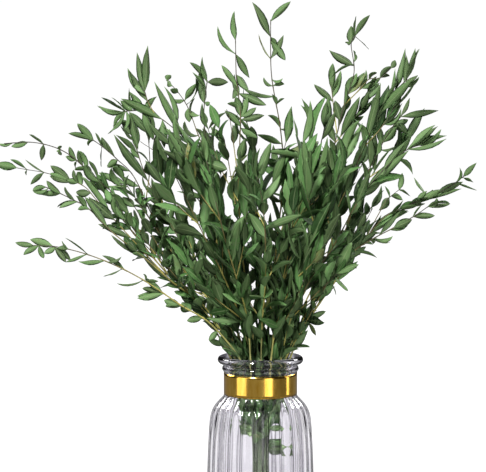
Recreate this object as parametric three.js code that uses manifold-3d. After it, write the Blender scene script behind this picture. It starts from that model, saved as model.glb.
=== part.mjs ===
// Eucalyptus branches in a ribbed glass vase, in millimetres.
// +Z is up, +X is the viewer's right, and the origin is the middle of the vase's flat foot.
// Each cut branch stands on the floor of the vase, is gathered half way up it, and fans out
// of the neck. A branch is one solid, because its stem, side twigs and leaves grew as one.

import * as THREE from "three";
import { mergeVertices } from "three/addons/utils/BufferGeometryUtils.js";
import Module from "manifold-3d";

const wasm = await Module();
wasm.setup();

// Vase: the corners of its outline, each a radius and a height, from the middle of the foot up the
// outside to the rolled lip, and down the inside to the middle of the floor
const NECK_RADIUS = 36;
const FLOOR = 8;
const VASE_OUTLINE = [
  [0, 0], [46, 0], [51, 4], [54, 20], [54, 50], [51.5, 120], [49, 134], [43, 144],
  [NECK_RADIUS, 151], [NECK_RADIUS, 174], [38.5, 177], [37, 181], [41.5, 183.2], [43, 186], [39.5, 190],
  [34.5, 189], [33, 183], [33, 150], [40, 142], [45, 130], [50, 50], [50, 20], [43, FLOOR], [0, FLOOR],
];
const FLUTES = 24;
const FLUTE_DEPTH = 1.2;
const FIRST_FLUTED = 2;
const LAST_FLUTED = 9;

// Ribbon
const RIBBON_FOOT = 151.5;
const RIBBON_WIDTH = 22;
const RIBBON_THICKNESS = 0.6;

// Every piece keeps this far from its neighbours
const GAP = 0.3;

// Stems, from the foot of the bouquet to its tips
const FOOT_HEIGHT = FLOOR + GAP;
const TIE_HEIGHT = 92;
const MOUTH_HEIGHT = 160;
const LIP_HEIGHT = 188;
const FOOT_SPREAD = 0.33;
const TIE_SPREAD = 0.28;
const MOUTH_SPREAD = 0.8;
const STEM_RADIUS = 1.2;
const STEM_TIP_RADIUS = 0.7;
const TWIG_RADIUS = 0.65;
const TWIG_TIP_RADIUS = 0.4;
const STEM_SIDES = 4;
const TWIG_SIDES = 3;
const STEPS_PER_SPAN = 2;
const SPAN_TENSION = 0.5;

// Side twigs that grow by chance. A wander is the most that chance adds or takes away.
const FIRST_TWIG = 0.46;
const LAST_TWIG = 0.92;
const TWIG_PLACE_WANDER = 0.03;
const TWIG_LENGTH = 78;
const LOW_TWIG_SIZE = 1.25;
const TWIG_SIZE_LOST = 0.5;
const TWIG_SIZE_WANDER = 0.2;
const TWIG_ANGLE = 36;
const TWIG_ANGLE_WANDER = 8;
const TWIG_TURN_WANDER = 0.9;
const TWIG_LIFT = 0.3;
const TWIG_BEND = 0.3;
const TWIG_BEND_LIFT = 0.1;
const TWIG_TRIES = 6;
const GOLDEN_ANGLE = 137.5;
const DEPTH_TRIES = [0, 6, -6, 12, -12, 18];
const STATIONS = 300;

// Leaves that grow by chance
const LEAFY_FROM = 184;
const BARE_TWIG = 14;
const TIP_SEAT = 2;
const CROWDING = 0.85;
const PAIR_TURN_WANDER = 0.5;
const LEAF_TURN_WANDER = 0.25;
const TIP_OPENING = 6;
const LOW_OPENING = 1.1;
const OPENING_LOST = 0.35;
const OPENING_WANDER = 9;
const LEAF_LIFT = 0.16;
const LEAF_LIFT_WANDER = 0.14;
const BLADE_WANDER = 0.9;
const LOW_SIZE = 1.05;
const SIZE_WANDER = 0.25;
const STEADY_WIDTH = 0.3;
const MODELLED_EVERY = 5;
const MODELLED_PAIR = 1;
const WILLOW = { length: 39, width: 9.6, angle: 21, spacing: 15, shrink: 0.12 };
const BROAD = { length: 29, width: 10.6, angle: 31, spacing: 15, shrink: 0.25 };
const OVAL = { length: 21, width: 8.2, angle: 40, spacing: 13, shrink: 0.2 };
const NARROW = { length: 30, width: 7.6, angle: 17, spacing: 12, shrink: 0.15 };
const AIRY = { length: 27, width: 9, angle: 36, spacing: 21, shrink: 0.05 };
const SPARSE = { length: 21, width: 7.6, angle: 40, spacing: 18, shrink: 0.05 };

// One leaf on the bare part of an outer stem, inside the vase
const LOW_LEAF_FROM = 82;
const LOW_LEAF_RANGE = 60;
const LOW_LEAF_ANGLE = 32;
const LOW_LEAF_ANGLE_WANDER = 14;
const LOW_LEAF_TURN_WANDER = 0.4;
const LOW_LEAF_MOUTH = 14;
const LOW_LEAF_LENGTH = 20;
const LOW_LEAF_LENGTH_WANDER = 4;
const LOW_LEAF_WIDTH = 8.5;

// Leaves chosen one by one
const DEPTH_WANDER = 0.35;
const LEAST_WIDTH = 0.75;
const CHOSEN_TURN_WANDER = 0.15;

// A leaf's blade
const RIB_HEIGHT = 1.1;
const WIDEST = 0.45;

// Chance: each state is the last one times a factor, modulo a prime. Every shoot has its own seed.
const FACTOR = 16807;
const PRIME = 2147483647;
const SEED_FACTOR = 7919;
const SEED_START = 13;
const WARM_UP = 3;
const STEM_LEAVES_SEED = 100;
const TWIG_LEAVES_SEED = 200;
const SEEDS_PER_BRANCH = 10;
const CHOSEN_LEAVES_SEED = 600;
const LOW_LEAF_SEED = 900;

// The eye looks at the vase from the front and a little above
const EYE = new THREE.Vector3(-17, -1700, 414);
const UP = new THREE.Vector3(0, 0, 1);
const INTO_PICTURE = new THREE.Vector3(0, 1, 0);

// Each branch has its place in the vase's mouth, its kind of leaf, a number of twigs that grow by
// chance, the share of its stem that is leafy by chance, and its route above the lip. A route's point
// is how far it looks across and up from the vase's foot, and how deep it lies. A side twig starts at
// a share of the stem's length and is leafy up to a share of its own. A leaf chosen one by one has
// the places where its foot and its tip look across and up, and the width it shows.
const BRANCHES = [
  { lip: [-30, 0], leaf: SPARSE, twigs: 0, leafy: 0.8,
    route: [[-58, 233, 8], [-100, 280, 18], [-134, 322, 20], [-158, 356, 15], [-176, 379, 12],
              [-198, 396, 8], [-226, 404, 4], [-256, 403, 0]],
    side: [[0.56, 1, [-140, 344, 4], [-162, 366, -6]], [0.5, 1, [-120, 330, 0], [-140, 362, -8]],
             [0.62, 1, [-150, 352, 24], [-164, 370, 26]]],
    leaves: [[-232, 405, -249, 400, 6.5], [-216, 403, -231, 412, 1.8], [-216, 402, -219, 386, 5.2],
               [-200, 398, -204, 395, 3], [-200, 397, -199, 391, 2], [-200, 396, -200, 401, 2.5],
               [-184, 386, -195, 390, 4], [-183, 386, -191, 400, 3.5], [-183, 385, -183, 375, 2.5],
               [-174, 377, -182, 397, 5], [-247, 402, -262, 403, 1.8], [-174, 376, -186, 377, 3],
               [-14, 116, -22, 141, 6], [-18, 132, -25, 147, 7]] },
  { lip: [-25, -9.5], leaf: OVAL, twigs: 0, leafy: 0.8,
    route: [[-55, 238, -18], [-88, 264, -34], [-118, 290, -44], [-148, 314, -46], [-172, 338, -42],
              [-186, 346, -38], [-200, 353, -34], [-216, 360, -30]],
    side: [[0.66, 0.4, [-160, 342, -34], [-176, 360, -28], [-196, 368, -24], [-216, 374, -20],
              [-234, 377, -18], [-245, 379, -16]],
             [0.55, 1, [-134, 322, -30], [-150, 346, -24]], [0.48, 1, [-112, 302, -52], [-136, 328, -62]]],
    leaves: [[-245, 379, -264, 383, 8.5], [-233, 377, -250, 387, 3.5], [-233, 377, -234, 371, 1.5],
               [-216, 374, -235, 387, 2.2], [-216, 374, -230, 362, 5], [-190, 366, -210, 381, 8],
               [-190, 366, -211, 373, 7], [-178, 372, -193, 366, 6], [-178, 372, -187, 377, 3],
               [-214, 360, -228, 356, 4.5], [-200, 354, -214, 366, 5], [-200, 354, -222, 352, 6],
               [-184, 348, -196, 360, 2.5], [-184, 346, -204, 339, 3], [-173, 340, -185, 351, 7],
               [-171, 336, -183, 337, 5], [-172, 350, -185, 354, 8], [-131, 306, -164, 323, 6],
               [-113, 288, -150, 312, 1.8], [-112, 292, -131, 309, 2.5], [-84, 262, -118, 290, 2.5],
               [-11, 124, -13, 108, 6], [-14, 130, -17, 148, 8]] },
  { lip: [-20, 0], leaf: OVAL, twigs: 2, leafy: 0.85,
    route: [[-47, 240, 28], [-82, 282, 48], [-106, 326, 54], [-126, 369, 46], [-143, 387, 40],
              [-158, 400, 34], [-168, 407, 30]],
    side: [[0.62, 1, [-126, 350, 40], [-138, 368, 34]], [0.52, 1, [-96, 334, 44], [-112, 358, 40]]],
    leaves: [[-168, 407, -183, 423, 7.5], [-168, 408, -192, 413, 5.5], [-168, 406, -172, 400, 1.8],
               [-158, 400, -165, 414, 2.5], [-144, 389, -159, 410, 5], [-158, 400, -159, 379, 1.8],
               [-143, 387, -154, 380, 7], [-130, 375, -147, 383, 4], [-135, 361, -162, 374, 7],
               [-125, 357, -141, 372, 5], [-10, 127, -11, 147, 9]] },
  { lip: [-20, -19], leaf: SPARSE, twigs: 0, leafy: 0.48,
    route: [[-50, 222, -34], [-80, 241, -46], [-117, 266, -54], [-150, 283, -56], [-180, 294, -54],
              [-207, 300, -50], [-229, 301, -46]],
    side: [],
    leaves: [[-229, 301, -246, 304, 5.5], [-222, 300, -238, 291, 5], [-222, 300, -217, 288, 4],
               [-207, 300, -231, 307, 8], [-205, 299, -217, 293, 5], [-203, 298, -190, 286, 5.5],
               [-192, 298, -204, 299, 5], [-192, 298, -199, 306, 2], [-173, 292, -196, 309, 2.2],
               [-174, 292, -196, 284, 3.2], [-155, 286, -183, 285, 5.2], [-136, 277, -159, 291, 4],
               [-152, 286, -139, 290, 1.6], [-138, 277, -158, 270, 2.2], [-117, 266, -145, 263, 2],
               [-97, 255, -116, 269, 6], [-97, 254, -119, 258, 6], [-100, 251, -125, 250, 6.5],
               [-80, 241, -97, 246, 8], [-70, 243, -78, 236, 8], [-57, 228, -74, 225, 7],
               [-43, 214, -52, 205, 6], [-116, 266, -102, 265, 1.6], [-116, 266, -118, 273, 1.6]] },
  { lip: [-15, -9.5], leaf: WILLOW, twigs: 1, leafy: 0.86,
    route: [[-30, 240, -18], [-43, 300, -26], [-52, 354, -26], [-66, 396, -20], [-94, 424, -14],
              [-116, 435, -10], [-137, 435, -8]],
    side: [[0.93, 0, [-112, 444, -14], [-116, 456, -16]], [0.6, 1, [-66, 376, -30], [-88, 402, -30]]],
    leaves: [[-116, 455, -112, 501, 8.5], [-116, 455, -123, 494, 6.5], [-114, 443, -133, 479, 7.5],
               [-76, 412, -106, 465, 7.5], [-97, 427, -140, 448, 9], [-126, 438, -131, 459, 3],
               [-136, 437, -159, 449, 4], [-137, 435, -164, 441, 4.5], [-137, 435, -149, 449, 2],
               [-137, 434, -153, 412, 5], [-115, 438, -103, 450, 7], [-118, 434, -107, 406, 8],
               [-130, 435, -122, 397, 6], [-97, 427, -96, 398, 8], [-134, 434, -136, 416, 5]] },
  { lip: [-15, 9.5], leaf: BROAD, twigs: 1, leafy: 0.84,
    route: [[-20, 250, 34], [-33, 300, 58], [-43, 355, 62], [-52, 396, 54], [-56, 420, 50],
              [-56, 443, 48], [-53, 466, 46]],
    side: [[0.8, 0, [-62, 411, 50], [-72, 438, 48], [-83, 455, 46], [-94, 466, 45]]],
    leaves: [[-94, 465, -89, 471, 2.4], [-95, 453, -93, 466, 5.5], [-78, 456, -90, 457, 5],
               [-75, 446, -90, 447, 5], [-74, 446, -64, 463, 3], [-66, 446, -64, 471, 3],
               [-71, 439, -71, 424, 8], [-72, 437, -59, 431, 5], [-68, 430, -65, 449, 2.5],
               [-56, 420, -57, 435, 6.5], [-56, 443, -61, 478, 8.5], [-54, 466, -71, 484, 6],
               [-53, 466, -58, 490, 7], [-56, 444, -50, 444, 3], [-53, 464, -32, 464, 8.5],
               [-45, 380, -57, 420, 11], [-62, 411, -78, 428, 5], [-64, 418, -56, 404, 5]] },
  { lip: [-5, -9.5], leaf: AIRY, twigs: 1, leafy: 0.8,
    route: [[-13, 250, -26], [-20, 310, -36], [-22, 370, -38], [-20, 430, -33], [-24, 466, -28],
              [-25, 507, -24]],
    side: [[0.6, 1, [-34, 396, -40], [-42, 420, -42]], [0.72, 0, [-30, 424, -34], [-34, 437, -34]]],
    leaves: [[-25, 506, -26, 535, 6.5], [-25, 492, -43, 520, 3], [-25, 492, -11, 468, 7],
               [-25, 471, -12, 456, 8], [-26, 460, -39, 481, 6], [-26, 462, -28, 447, 6],
               [-22, 454, 6, 441, 8], [-22, 436, -34, 443, 5], [-19, 430, -4, 439, 5],
               [-19, 426, 4, 431, 5], [-20, 422, -36, 436, 7], [-20, 430, -25, 450, 8],
               [-19, 428, -13, 452, 8], [-34, 437, -52, 417, 3.5], [-19, 418, -2, 408, 6],
               [-34, 437, -20, 420, 6], [-2, 128, -5, 147, 8]] },
  { lip: [-5, 9.5], leaf: AIRY, twigs: 0, leafy: 0.74,
    route: [[10, 250, 22], [17, 310, 28], [23, 370, 24], [20, 416, 16], [14, 450, 12], [11, 470, 10],
              [10, 490, 9], [10, 526, 8]],
    side: [[0.56, 1, [36, 366, 20], [44, 396, 16]]],
    leaves: [[10, 508, -9, 544, 9], [10, 524, 30, 544, 6], [10, 487, -2, 512, 3.5],
               [10, 487, 23, 511, 6], [11, 505, 25, 485, 8], [10, 508, 14, 496, 6],
               [12, 460, 3, 469, 3], [12, 460, 24, 462, 2.5], [11, 466, 23, 468, 4],
               [15, 441, 11, 453, 6], [15, 441, 24, 448, 2.5], [20, 417, 6, 432, 5], [20, 417, 31, 428, 2]] },
  { lip: [0, 0], leaf: WILLOW, twigs: 2, leafy: 1,
    route: [[-2, 250, -2], [-4, 320, 4], [-7, 386, 8], [-12, 420, 8]],
    side: [],
    leaves: [] },
  { lip: [5, 9.5], leaf: AIRY, twigs: 2, leafy: 0.78,
    route: [[28, 250, 30], [47, 310, 48], [66, 370, 50], [76, 411, 46], [83, 440, 42], [93, 473, 38],
              [90, 502, 36], [95, 511, 35]],
    side: [[0.8, 0, [72, 446, 50], [70, 464, 50]],
             [0.86, 0, [98, 456, 40], [108, 467, 38], [119, 468, 36], [131, 479, 34]]],
    leaves: [[90, 502, 90, 520, 9], [92, 503, 84, 504, 3], [94, 510, 95, 530, 2.2],
               [95, 511, 109, 531, 6], [95, 510, 108, 496, 2], [92, 483, 92, 496, 4],
               [88, 479, 68, 496, 8.5], [90, 481, 70, 468, 2.5], [70, 462, 72, 483, 7],
               [72, 456, 79, 474, 3.5], [86, 451, 93, 471, 10], [96, 456, 105, 477, 5],
               [108, 467, 117, 474, 5], [119, 468, 131, 480, 5.5], [131, 479, 134, 486, 5],
               [120, 468, 129, 470, 2.5], [99, 458, 120, 469, 5], [71, 444, 53, 462, 6.5],
               [77, 426, 74, 446, 9], [88, 452, 86, 436, 7], [78, 411, 99, 450, 9]] },
  { lip: [10, 0], leaf: WILLOW, twigs: 2, leafy: 1,
    route: [[20, 250, -6], [36, 310, -14], [52, 370, -18], [60, 402, -16], [64, 420, -14]],
    side: [[0.7, 1, [50, 400, -22], [49, 420, -24]]],
    leaves: [] },
  { lip: [20, 0], leaf: WILLOW, twigs: 2, leafy: 0.92,
    route: [[38, 250, 4], [64, 310, 8], [92, 372, 10], [112, 420, 10], [130, 450, 10], [146, 467, 10]],
    side: [],
    leaves: [[133, 455, 144, 498, 6.5], [144, 466, 154, 498, 4.5], [146, 467, 159, 498, 4.5],
               [144, 464, 157, 471, 4.5], [117, 434, 152, 468, 10], [103, 400, 120, 465, 8.5],
               [122, 440, 134, 461, 6]] },
  { lip: [25, 9.5], leaf: WILLOW, twigs: 2, leafy: 0.92,
    route: [[47, 248, 38], [80, 305, 62], [102, 362, 68], [120, 400, 66], [132, 420, 60],
              [141, 431, 58]],
    side: [],
    leaves: [[141, 431, 178, 436, 7], [141, 431, 149, 449, 3], [133, 423, 147, 412, 9],
               [132, 421, 150, 428, 7], [120, 402, 117, 424, 7], [11, 129, 17, 148, 8]] },
  { lip: [15, -9.5], leaf: WILLOW, twigs: 1, leafy: 0.9,
    route: [[42, 250, -32], [74, 302, -48], [98, 346, -54], [122, 376, -52], [142, 394, -46],
              [158, 402, -44]],
    side: [],
    leaves: [[146, 396, 178, 421, 6], [156, 402, 181, 418, 4], [150, 398, 187, 411, 6],
               [134, 388, 153, 371, 2.5], [104, 354, 150, 398, 9], [122, 376, 145, 405, 7],
               [7, 127, 4, 148, 9]] },
  { lip: [30, 0], leaf: NARROW, twigs: 0, leafy: 0.93,
    route: [[46, 222, 4], [70, 258, 10], [100, 300, 16], [124, 329, 14], [156, 345, 12], [186, 358, 8],
              [204, 371, 4]],
    side: [[0.72, 0, [124, 343, 18], [130, 350, 18], [140, 358, 18]],
             [0.5, 1, [98, 312, 26], [112, 338, 34]]],
    leaves: [[203, 370, 216, 384, 5.5], [194, 365, 199, 380, 1.8], [203, 368, 213, 364, 1.8],
               [196, 363, 217, 356, 1.6], [176, 353, 203, 365, 7], [154, 344, 186, 359, 7],
               [155, 345, 167, 356, 3.5], [163, 349, 173, 358, 3], [110, 312, 139, 339, 8],
               [129, 350, 118, 336, 8], [131, 350, 143, 346, 4.5], [129, 350, 124, 361, 2.5],
               [140, 358, 142, 376, 5.5], [140, 358, 150, 350, 3.5],
               [9, 95, 31, 98, 9], [16, 132, 24, 147, 7]] },
  { lip: [25, -9.5], leaf: OVAL, twigs: 0, leafy: 0.76,
    route: [[42, 225, -22], [64, 262, -36], [92, 294, -46], [115, 309, -46], [132, 318, -44],
              [153, 330, -40], [169, 341, -36]],
    side: [[0.45, 1, [84, 294, -60], [98, 320, -70]]],
    leaves: [[168, 341, 190, 343, 3.5], [169, 341, 177, 349, 1.8], [153, 330, 175, 331, 6],
               [132, 318, 152, 327, 9], [153, 330, 161, 341, 3.5], [115, 309, 134, 311, 3.5],
               [114, 308, 131, 304, 1.6], [110, 306, 113, 302, 4], [92, 296, 118, 288, 4],
               [100, 298, 118, 316, 6], [84, 286, 106, 300, 6],
               [11, 117, 28, 117, 5]] },
  { lip: [20, -19], leaf: BROAD, twigs: 0, leafy: 1,
    route: [[30, 226, -34], [44, 256, -54], [60, 282, -70], [78, 302, -80]],
    side: [[0.7, 1, [66, 262, -72], [78, 274, -80]]],
    leaves: [[78, 276, 99, 282, 5], [74, 270, 88, 255, 2], [68, 264, 76, 250, 2]] },
  { lip: [-10, -19], leaf: WILLOW, twigs: 3, leafy: 1,
    route: [[-20, 228, -36], [-38, 272, -62], [-60, 318, -84], [-78, 356, -96], [-92, 384, -100]],
    side: [],
    leaves: [] },
  { lip: [-10, -28], leaf: WILLOW, twigs: 3, leafy: 1,
    route: [[-13, 226, -44], [-24, 268, -74], [-36, 310, -100], [-46, 350, -116], [-54, 386, -122]],
    side: [],
    leaves: [] },
  { lip: [0, -28], leaf: BROAD, twigs: 3, leafy: 1,
    route: [[2, 226, -46], [5, 264, -76], [5, 304, -106], [2, 344, -126], [-4, 370, -136]],
    side: [],
    leaves: [] },
  { lip: [10, -28], leaf: WILLOW, twigs: 3, leafy: 1,
    route: [[17, 226, -42], [34, 266, -70], [52, 308, -94], [70, 350, -108], [84, 386, -112]],
    side: [],
    leaves: [] },
  { lip: [10, -19], leaf: WILLOW, twigs: 2, leafy: 1,
    route: [[17, 240, -34], [27, 288, -58], [34, 338, -74], [38, 380, -80], [42, 404, -80]],
    side: [],
    leaves: [] },
  { lip: [-25, 9.5], leaf: WILLOW, twigs: 2, leafy: 0.86,
    route: [[-34, 232, 30], [-58, 272, 60], [-84, 314, 80], [-110, 360, 92], [-123, 395, 96],
              [-130, 425, 94]],
    side: [[0.62, 0.5, [-92, 362, 96], [-101, 390, 96], [-120, 405, 92]]],
    leaves: [[-112, 365, -147, 413, 9], [-118, 377, -141, 398, 2.2], [-130, 425, -148, 420, 4],
               [-123, 395, -129, 429, 6], [-126, 410, -140, 430, 6], [-101, 390, -92, 380, 5],
               [-101, 390, -105, 410, 6]] },
  { lip: [-20, 19], leaf: BROAD, twigs: 2, leafy: 1,
    route: [[-26, 232, 40], [-38, 280, 72], [-48, 330, 102], [-54, 372, 120], [-56, 400, 126]],
    side: [],
    leaves: [] },
  { lip: [20, 19], leaf: WILLOW, twigs: 3, leafy: 1,
    route: [[25, 232, 40], [33, 282, 72], [38, 332, 102], [40, 374, 122], [38, 400, 130]],
    side: [],
    leaves: [] },
  { lip: [15, 9.5], leaf: BROAD, twigs: 3, leafy: 1,
    route: [[32, 236, 38], [56, 282, 68], [78, 328, 94], [92, 362, 108], [102, 384, 112]],
    side: [],
    leaves: [] },
];

const glass = new THREE.MeshStandardMaterial({ color: "#dcd8e4", roughness: 0.05, metalness: 0 });
const gold = new THREE.MeshStandardMaterial({ color: "#d9b23c", roughness: 0.25, metalness: 1 });
const foliage = new THREE.MeshStandardMaterial({ color: "#4f7a45", roughness: 0.75, metalness: 0 });

// A small repeatable source of numbers from 0 to 1, one for each shoot
class Chance {
  constructor(seed) {
    this.state = seed * SEED_FACTOR + SEED_START;
    for (let i = 0; i < WARM_UP; i += 1) this.next();
  }

  next() {
    this.state = (this.state * FACTOR) % PRIME;
    return this.state / PRIME;
  }

  spread(half) {
    return (2 * this.next() - 1) * half;
  }
}

// The place of a point that looks this far across and up, at its depth along the line of sight
function sight([across, up, depth]) {
  const seen = new THREE.Vector3(across, 0, up);
  const reach = 1 + depth / -EYE.y;
  return seen.sub(EYE).multiplyScalar(reach).add(EYE);
}

// How far a place looks from another one, which is given across and up
function seenGap(place, [across, up]) {
  const reach = 1 + place.y / -EYE.y;
  const seen = place.clone().sub(EYE).divideScalar(reach).add(EYE);
  return Math.hypot(seen.x - across, seen.z - up);
}

function radians(degrees) {
  return THREE.MathUtils.degToRad(degrees);
}

// A stem or twig: a smooth line through its points, thick at its foot and thin at its tip
class Shoot {
  constructor(points, footRadius, tipRadius) {
    const curve = new THREE.CatmullRomCurve3(points, false, "catmullrom", SPAN_TENSION);
    this.line = curve.getPoints((points.length - 1) * STEPS_PER_SPAN);
    this.footRadius = footRadius;
    this.tipRadius = tipRadius;
    this.along = [0];
    for (let i = 1; i < this.line.length; i += 1) {
      this.along.push(this.along[i - 1] + this.line[i].distanceTo(this.line[i - 1]));
    }
    this.length = this.along[this.along.length - 1];
  }

  // The point and the direction at a distance from the foot
  at(distance) {
    let i = 0;
    while (i < this.line.length - 2 && this.along[i + 1] <= distance) i += 1;
    const step = this.along[i + 1] - this.along[i];
    const point = this.line[i].clone().lerp(this.line[i + 1], (distance - this.along[i]) / step);
    const direction = this.line[i + 1].clone().sub(this.line[i]).normalize();
    return { point, direction };
  }

  // How near the shoot looks to a place, and at what distance from its foot
  nearest(seen) {
    let best = { gap: Infinity, distance: 0 };
    for (let i = 0; i <= STATIONS; i += 1) {
      const distance = this.length * i / STATIONS;
      const gap = seenGap(this.at(distance).point, seen);
      if (gap < best.gap) best = { gap, distance };
    }
    return best;
  }
}

// A direction that leans away from a shoot's own by an angle, turned round it by a turn
function leanFrom(direction, angle, turn) {
  const side = direction.clone().cross(INTO_PICTURE).normalize();
  const other = side.clone().cross(direction);
  const outward = side.multiplyScalar(Math.cos(turn)).addScaledVector(other, Math.sin(turn));
  const lean = direction.clone().multiplyScalar(Math.cos(angle));
  return lean.addScaledVector(outward, Math.sin(angle));
}

// A closed mesh becomes a solid once its shared corners are merged
function solidOf(geometry) {
  geometry.deleteAttribute("normal");
  geometry.deleteAttribute("uv");
  const merged = mergeVertices(geometry, 1e-4);
  return new wasm.Manifold(new wasm.Mesh({
    numProp: 3,
    vertProperties: new Float32Array(merged.attributes.position.array),
    triVerts: new Uint32Array(merged.index.array),
  }));
}

function geometryOf(solid) {
  const mesh = solid.getMesh();
  const geometry = new THREE.BufferGeometry();
  geometry.setAttribute("position", new THREE.BufferAttribute(mesh.vertProperties, 3));
  geometry.setIndex(new THREE.BufferAttribute(mesh.triVerts, 1));
  geometry.computeVertexNormals();
  return geometry;
}

// A straight rod of one ring for each point of the shoot, bent along it and tapered
function rodAlong(shoot, sides) {
  const steps = shoot.line.length - 1;
  const rod = new THREE.CylinderGeometry(1, 1, steps, sides, steps);
  rod.rotateX(Math.PI / 2).translate(0, 0, steps / 2);
  let normal = new THREE.Vector3(1, 0, 0);
  const frames = shoot.line.map((point, i) => {
    const before = shoot.line[Math.max(i - 1, 0)];
    const after = shoot.line[Math.min(i + 1, steps)];
    const direction = after.clone().sub(before).normalize();
    normal = normal.clone().addScaledVector(direction, -normal.dot(direction)).normalize();
    const taper = shoot.along[i] / shoot.length;
    const radius = THREE.MathUtils.lerp(shoot.footRadius, shoot.tipRadius, taper);
    return { point, normal, binormal: direction.cross(normal), radius };
  });
  const places = rod.attributes.position;
  for (let i = 0; i < places.count; i += 1) {
    const frame = frames[Math.round(places.getZ(i))];
    const place = frame.point.clone()
      .addScaledVector(frame.normal, places.getX(i) * frame.radius)
      .addScaledVector(frame.binormal, places.getY(i) * frame.radius);
    places.setXYZ(i, place.x, place.y, place.z);
  }
  return solidOf(rod);
}

// The leaves of one shoot: opposite pairs, each pair turned a quarter from the last, up to a share
// of the shoot's length. A shoot that is leafy to its end has one more leaf at its tip. Each leaf is
// a foot, a direction, the way its blade spreads, a length and a width. Only every fifth pair and
// the tip leaf are modelled, which keeps the branch a light solid.
function leavesOf(shoot, first, leafy, kind, chance) {
  const leaves = [];
  const last = shoot.length * leafy - TIP_SEAT;
  if (last < first + kind.spacing) return leaves;
  const pairs = Math.max(1, Math.round((last - first) / kind.spacing));
  for (let pair = 0; pair < (leafy === 1 ? pairs + 1 : pairs); pair += 1) {
    const share = pair / pairs;
    const { point, direction } = shoot.at(first + (last - first) * share ** CROWDING);
    const start = pair * Math.PI / 2 + chance.spread(PAIR_TURN_WANDER);
    const count = pair === pairs ? 1 : 2;
    for (let side = 0; side < count; side += 1) {
      const opening = pair === pairs
        ? TIP_OPENING
        : kind.angle * (LOW_OPENING - OPENING_LOST * share) + chance.spread(OPENING_WANDER);
      const turn = start + side * Math.PI + chance.spread(LEAF_TURN_WANDER);
      const along = leanFrom(direction, radians(opening), turn);
      along.addScaledVector(UP, LEAF_LIFT + chance.spread(LEAF_LIFT_WANDER)).normalize();
      const blade = leanFrom(direction, Math.PI / 2, turn + Math.PI / 2 + chance.spread(BLADE_WANDER));
      blade.addScaledVector(along, -blade.dot(along)).normalize();
      const size = (LOW_SIZE - kind.shrink * share) * (1 + chance.spread(SIZE_WANDER));
      const length = kind.length * size;
      const width = kind.width * (STEADY_WIDTH + (1 - STEADY_WIDTH) * size);
      const isModelled = pair % MODELLED_EVERY === MODELLED_PAIR || pair === pairs;
      if (isModelled) leaves.push({ foot: point, along, blade, length, width });
    }
  }
  return leaves;
}

// Leaves chosen one by one. Each grows from where the branch looks nearest to the leaf's foot. One
// that shows less width than its kind has is turned away by as much as that takes.
function chosenLeavesOf(shoots, chosen, kind, chance) {
  return chosen.map(([footAcross, footUp, tipAcross, tipUp, shown]) => {
    const near = shoots.map((shoot) => shoot.nearest([footAcross, footUp]));
    const nearest = near.reduce((best, one, i) => (one.gap < near[best].gap ? i : best), 0);
    const shoot = shoots[nearest];
    const foot = shoot.at(Math.min(near[nearest].distance, shoot.length - TIP_SEAT)).point;
    const seenLength = Math.hypot(tipAcross - footAcross, tipUp - footUp);
    const tip = sight([tipAcross, tipUp, foot.y + chance.spread(DEPTH_WANDER) * seenLength]);
    const length = tip.distanceTo(foot);
    const along = tip.sub(foot).normalize();
    const width = Math.max(shown, LEAST_WIDTH * kind.width);
    const sideways = chance.next() < 0.5 ? 1 : -1;
    const turn = Math.acos(shown / width) * sideways + chance.spread(CHOSEN_TURN_WANDER);
    const flat = along.clone().cross(INTO_PICTURE).normalize();
    const blade = along.clone().cross(flat).multiplyScalar(Math.sin(turn));
    blade.addScaledVector(flat, Math.cos(turn));
    return { foot, along, blade, length, width };
  });
}

// One leaf of an outer stem's bare part, inside the vase, which points out of the bundle
function lowLeafOf(stem, [x, y], chance) {
  const { point, direction } = stem.at(LOW_LEAF_FROM + LOW_LEAF_RANGE * chance.next());
  const turn = Math.atan2(y, -x) + chance.spread(LOW_LEAF_TURN_WANDER);
  const along = leanFrom(direction, radians(LOW_LEAF_ANGLE + chance.spread(LOW_LEAF_ANGLE_WANDER)), turn);
  const blade = leanFrom(direction, Math.PI / 2, turn + Math.PI / 2);
  const length = LOW_LEAF_LENGTH + chance.spread(LOW_LEAF_LENGTH_WANDER);
  return { foot: point, along, blade, length, width: LOW_LEAF_WIDTH };
}

// A leaf's blade as a thin roof: a raised midrib from foot to tip between two lower corners
function bladeOf({ foot, along, blade, length, width }) {
  const face = along.clone().cross(blade);
  const middle = foot.clone().addScaledVector(along, length * WIDEST).addScaledVector(face, -RIB_HEIGHT);
  const corners = [
    foot.clone(),
    foot.clone().addScaledVector(along, length),
    middle.clone().addScaledVector(blade, width / 2),
    middle.clone().addScaledVector(blade, -width / 2),
  ];
  return new wasm.Manifold(new wasm.Mesh({
    numProp: 3,
    vertProperties: new Float32Array(corners.flatMap((corner) => corner.toArray())),
    triVerts: new Uint32Array([0, 1, 2, 0, 3, 1, 1, 3, 2, 0, 2, 3]),
  }));
}

function isClear(solid, others) {
  return others.every((other) => other.minGap(solid, GAP) >= GAP);
}

function stemOf({ lip, route }) {
  const [x, y] = lip;
  const points = [
    new THREE.Vector3(x * FOOT_SPREAD, y * FOOT_SPREAD, FOOT_HEIGHT),
    new THREE.Vector3(x * TIE_SPREAD, y * TIE_SPREAD, TIE_HEIGHT),
    new THREE.Vector3(x * MOUTH_SPREAD, y * MOUTH_SPREAD, MOUTH_HEIGHT),
    new THREE.Vector3(x, y, LIP_HEIGHT),
    ...route.map(sight),
  ];
  return new Shoot(points, STEM_RADIUS, STEM_TIP_RADIUS);
}

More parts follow.
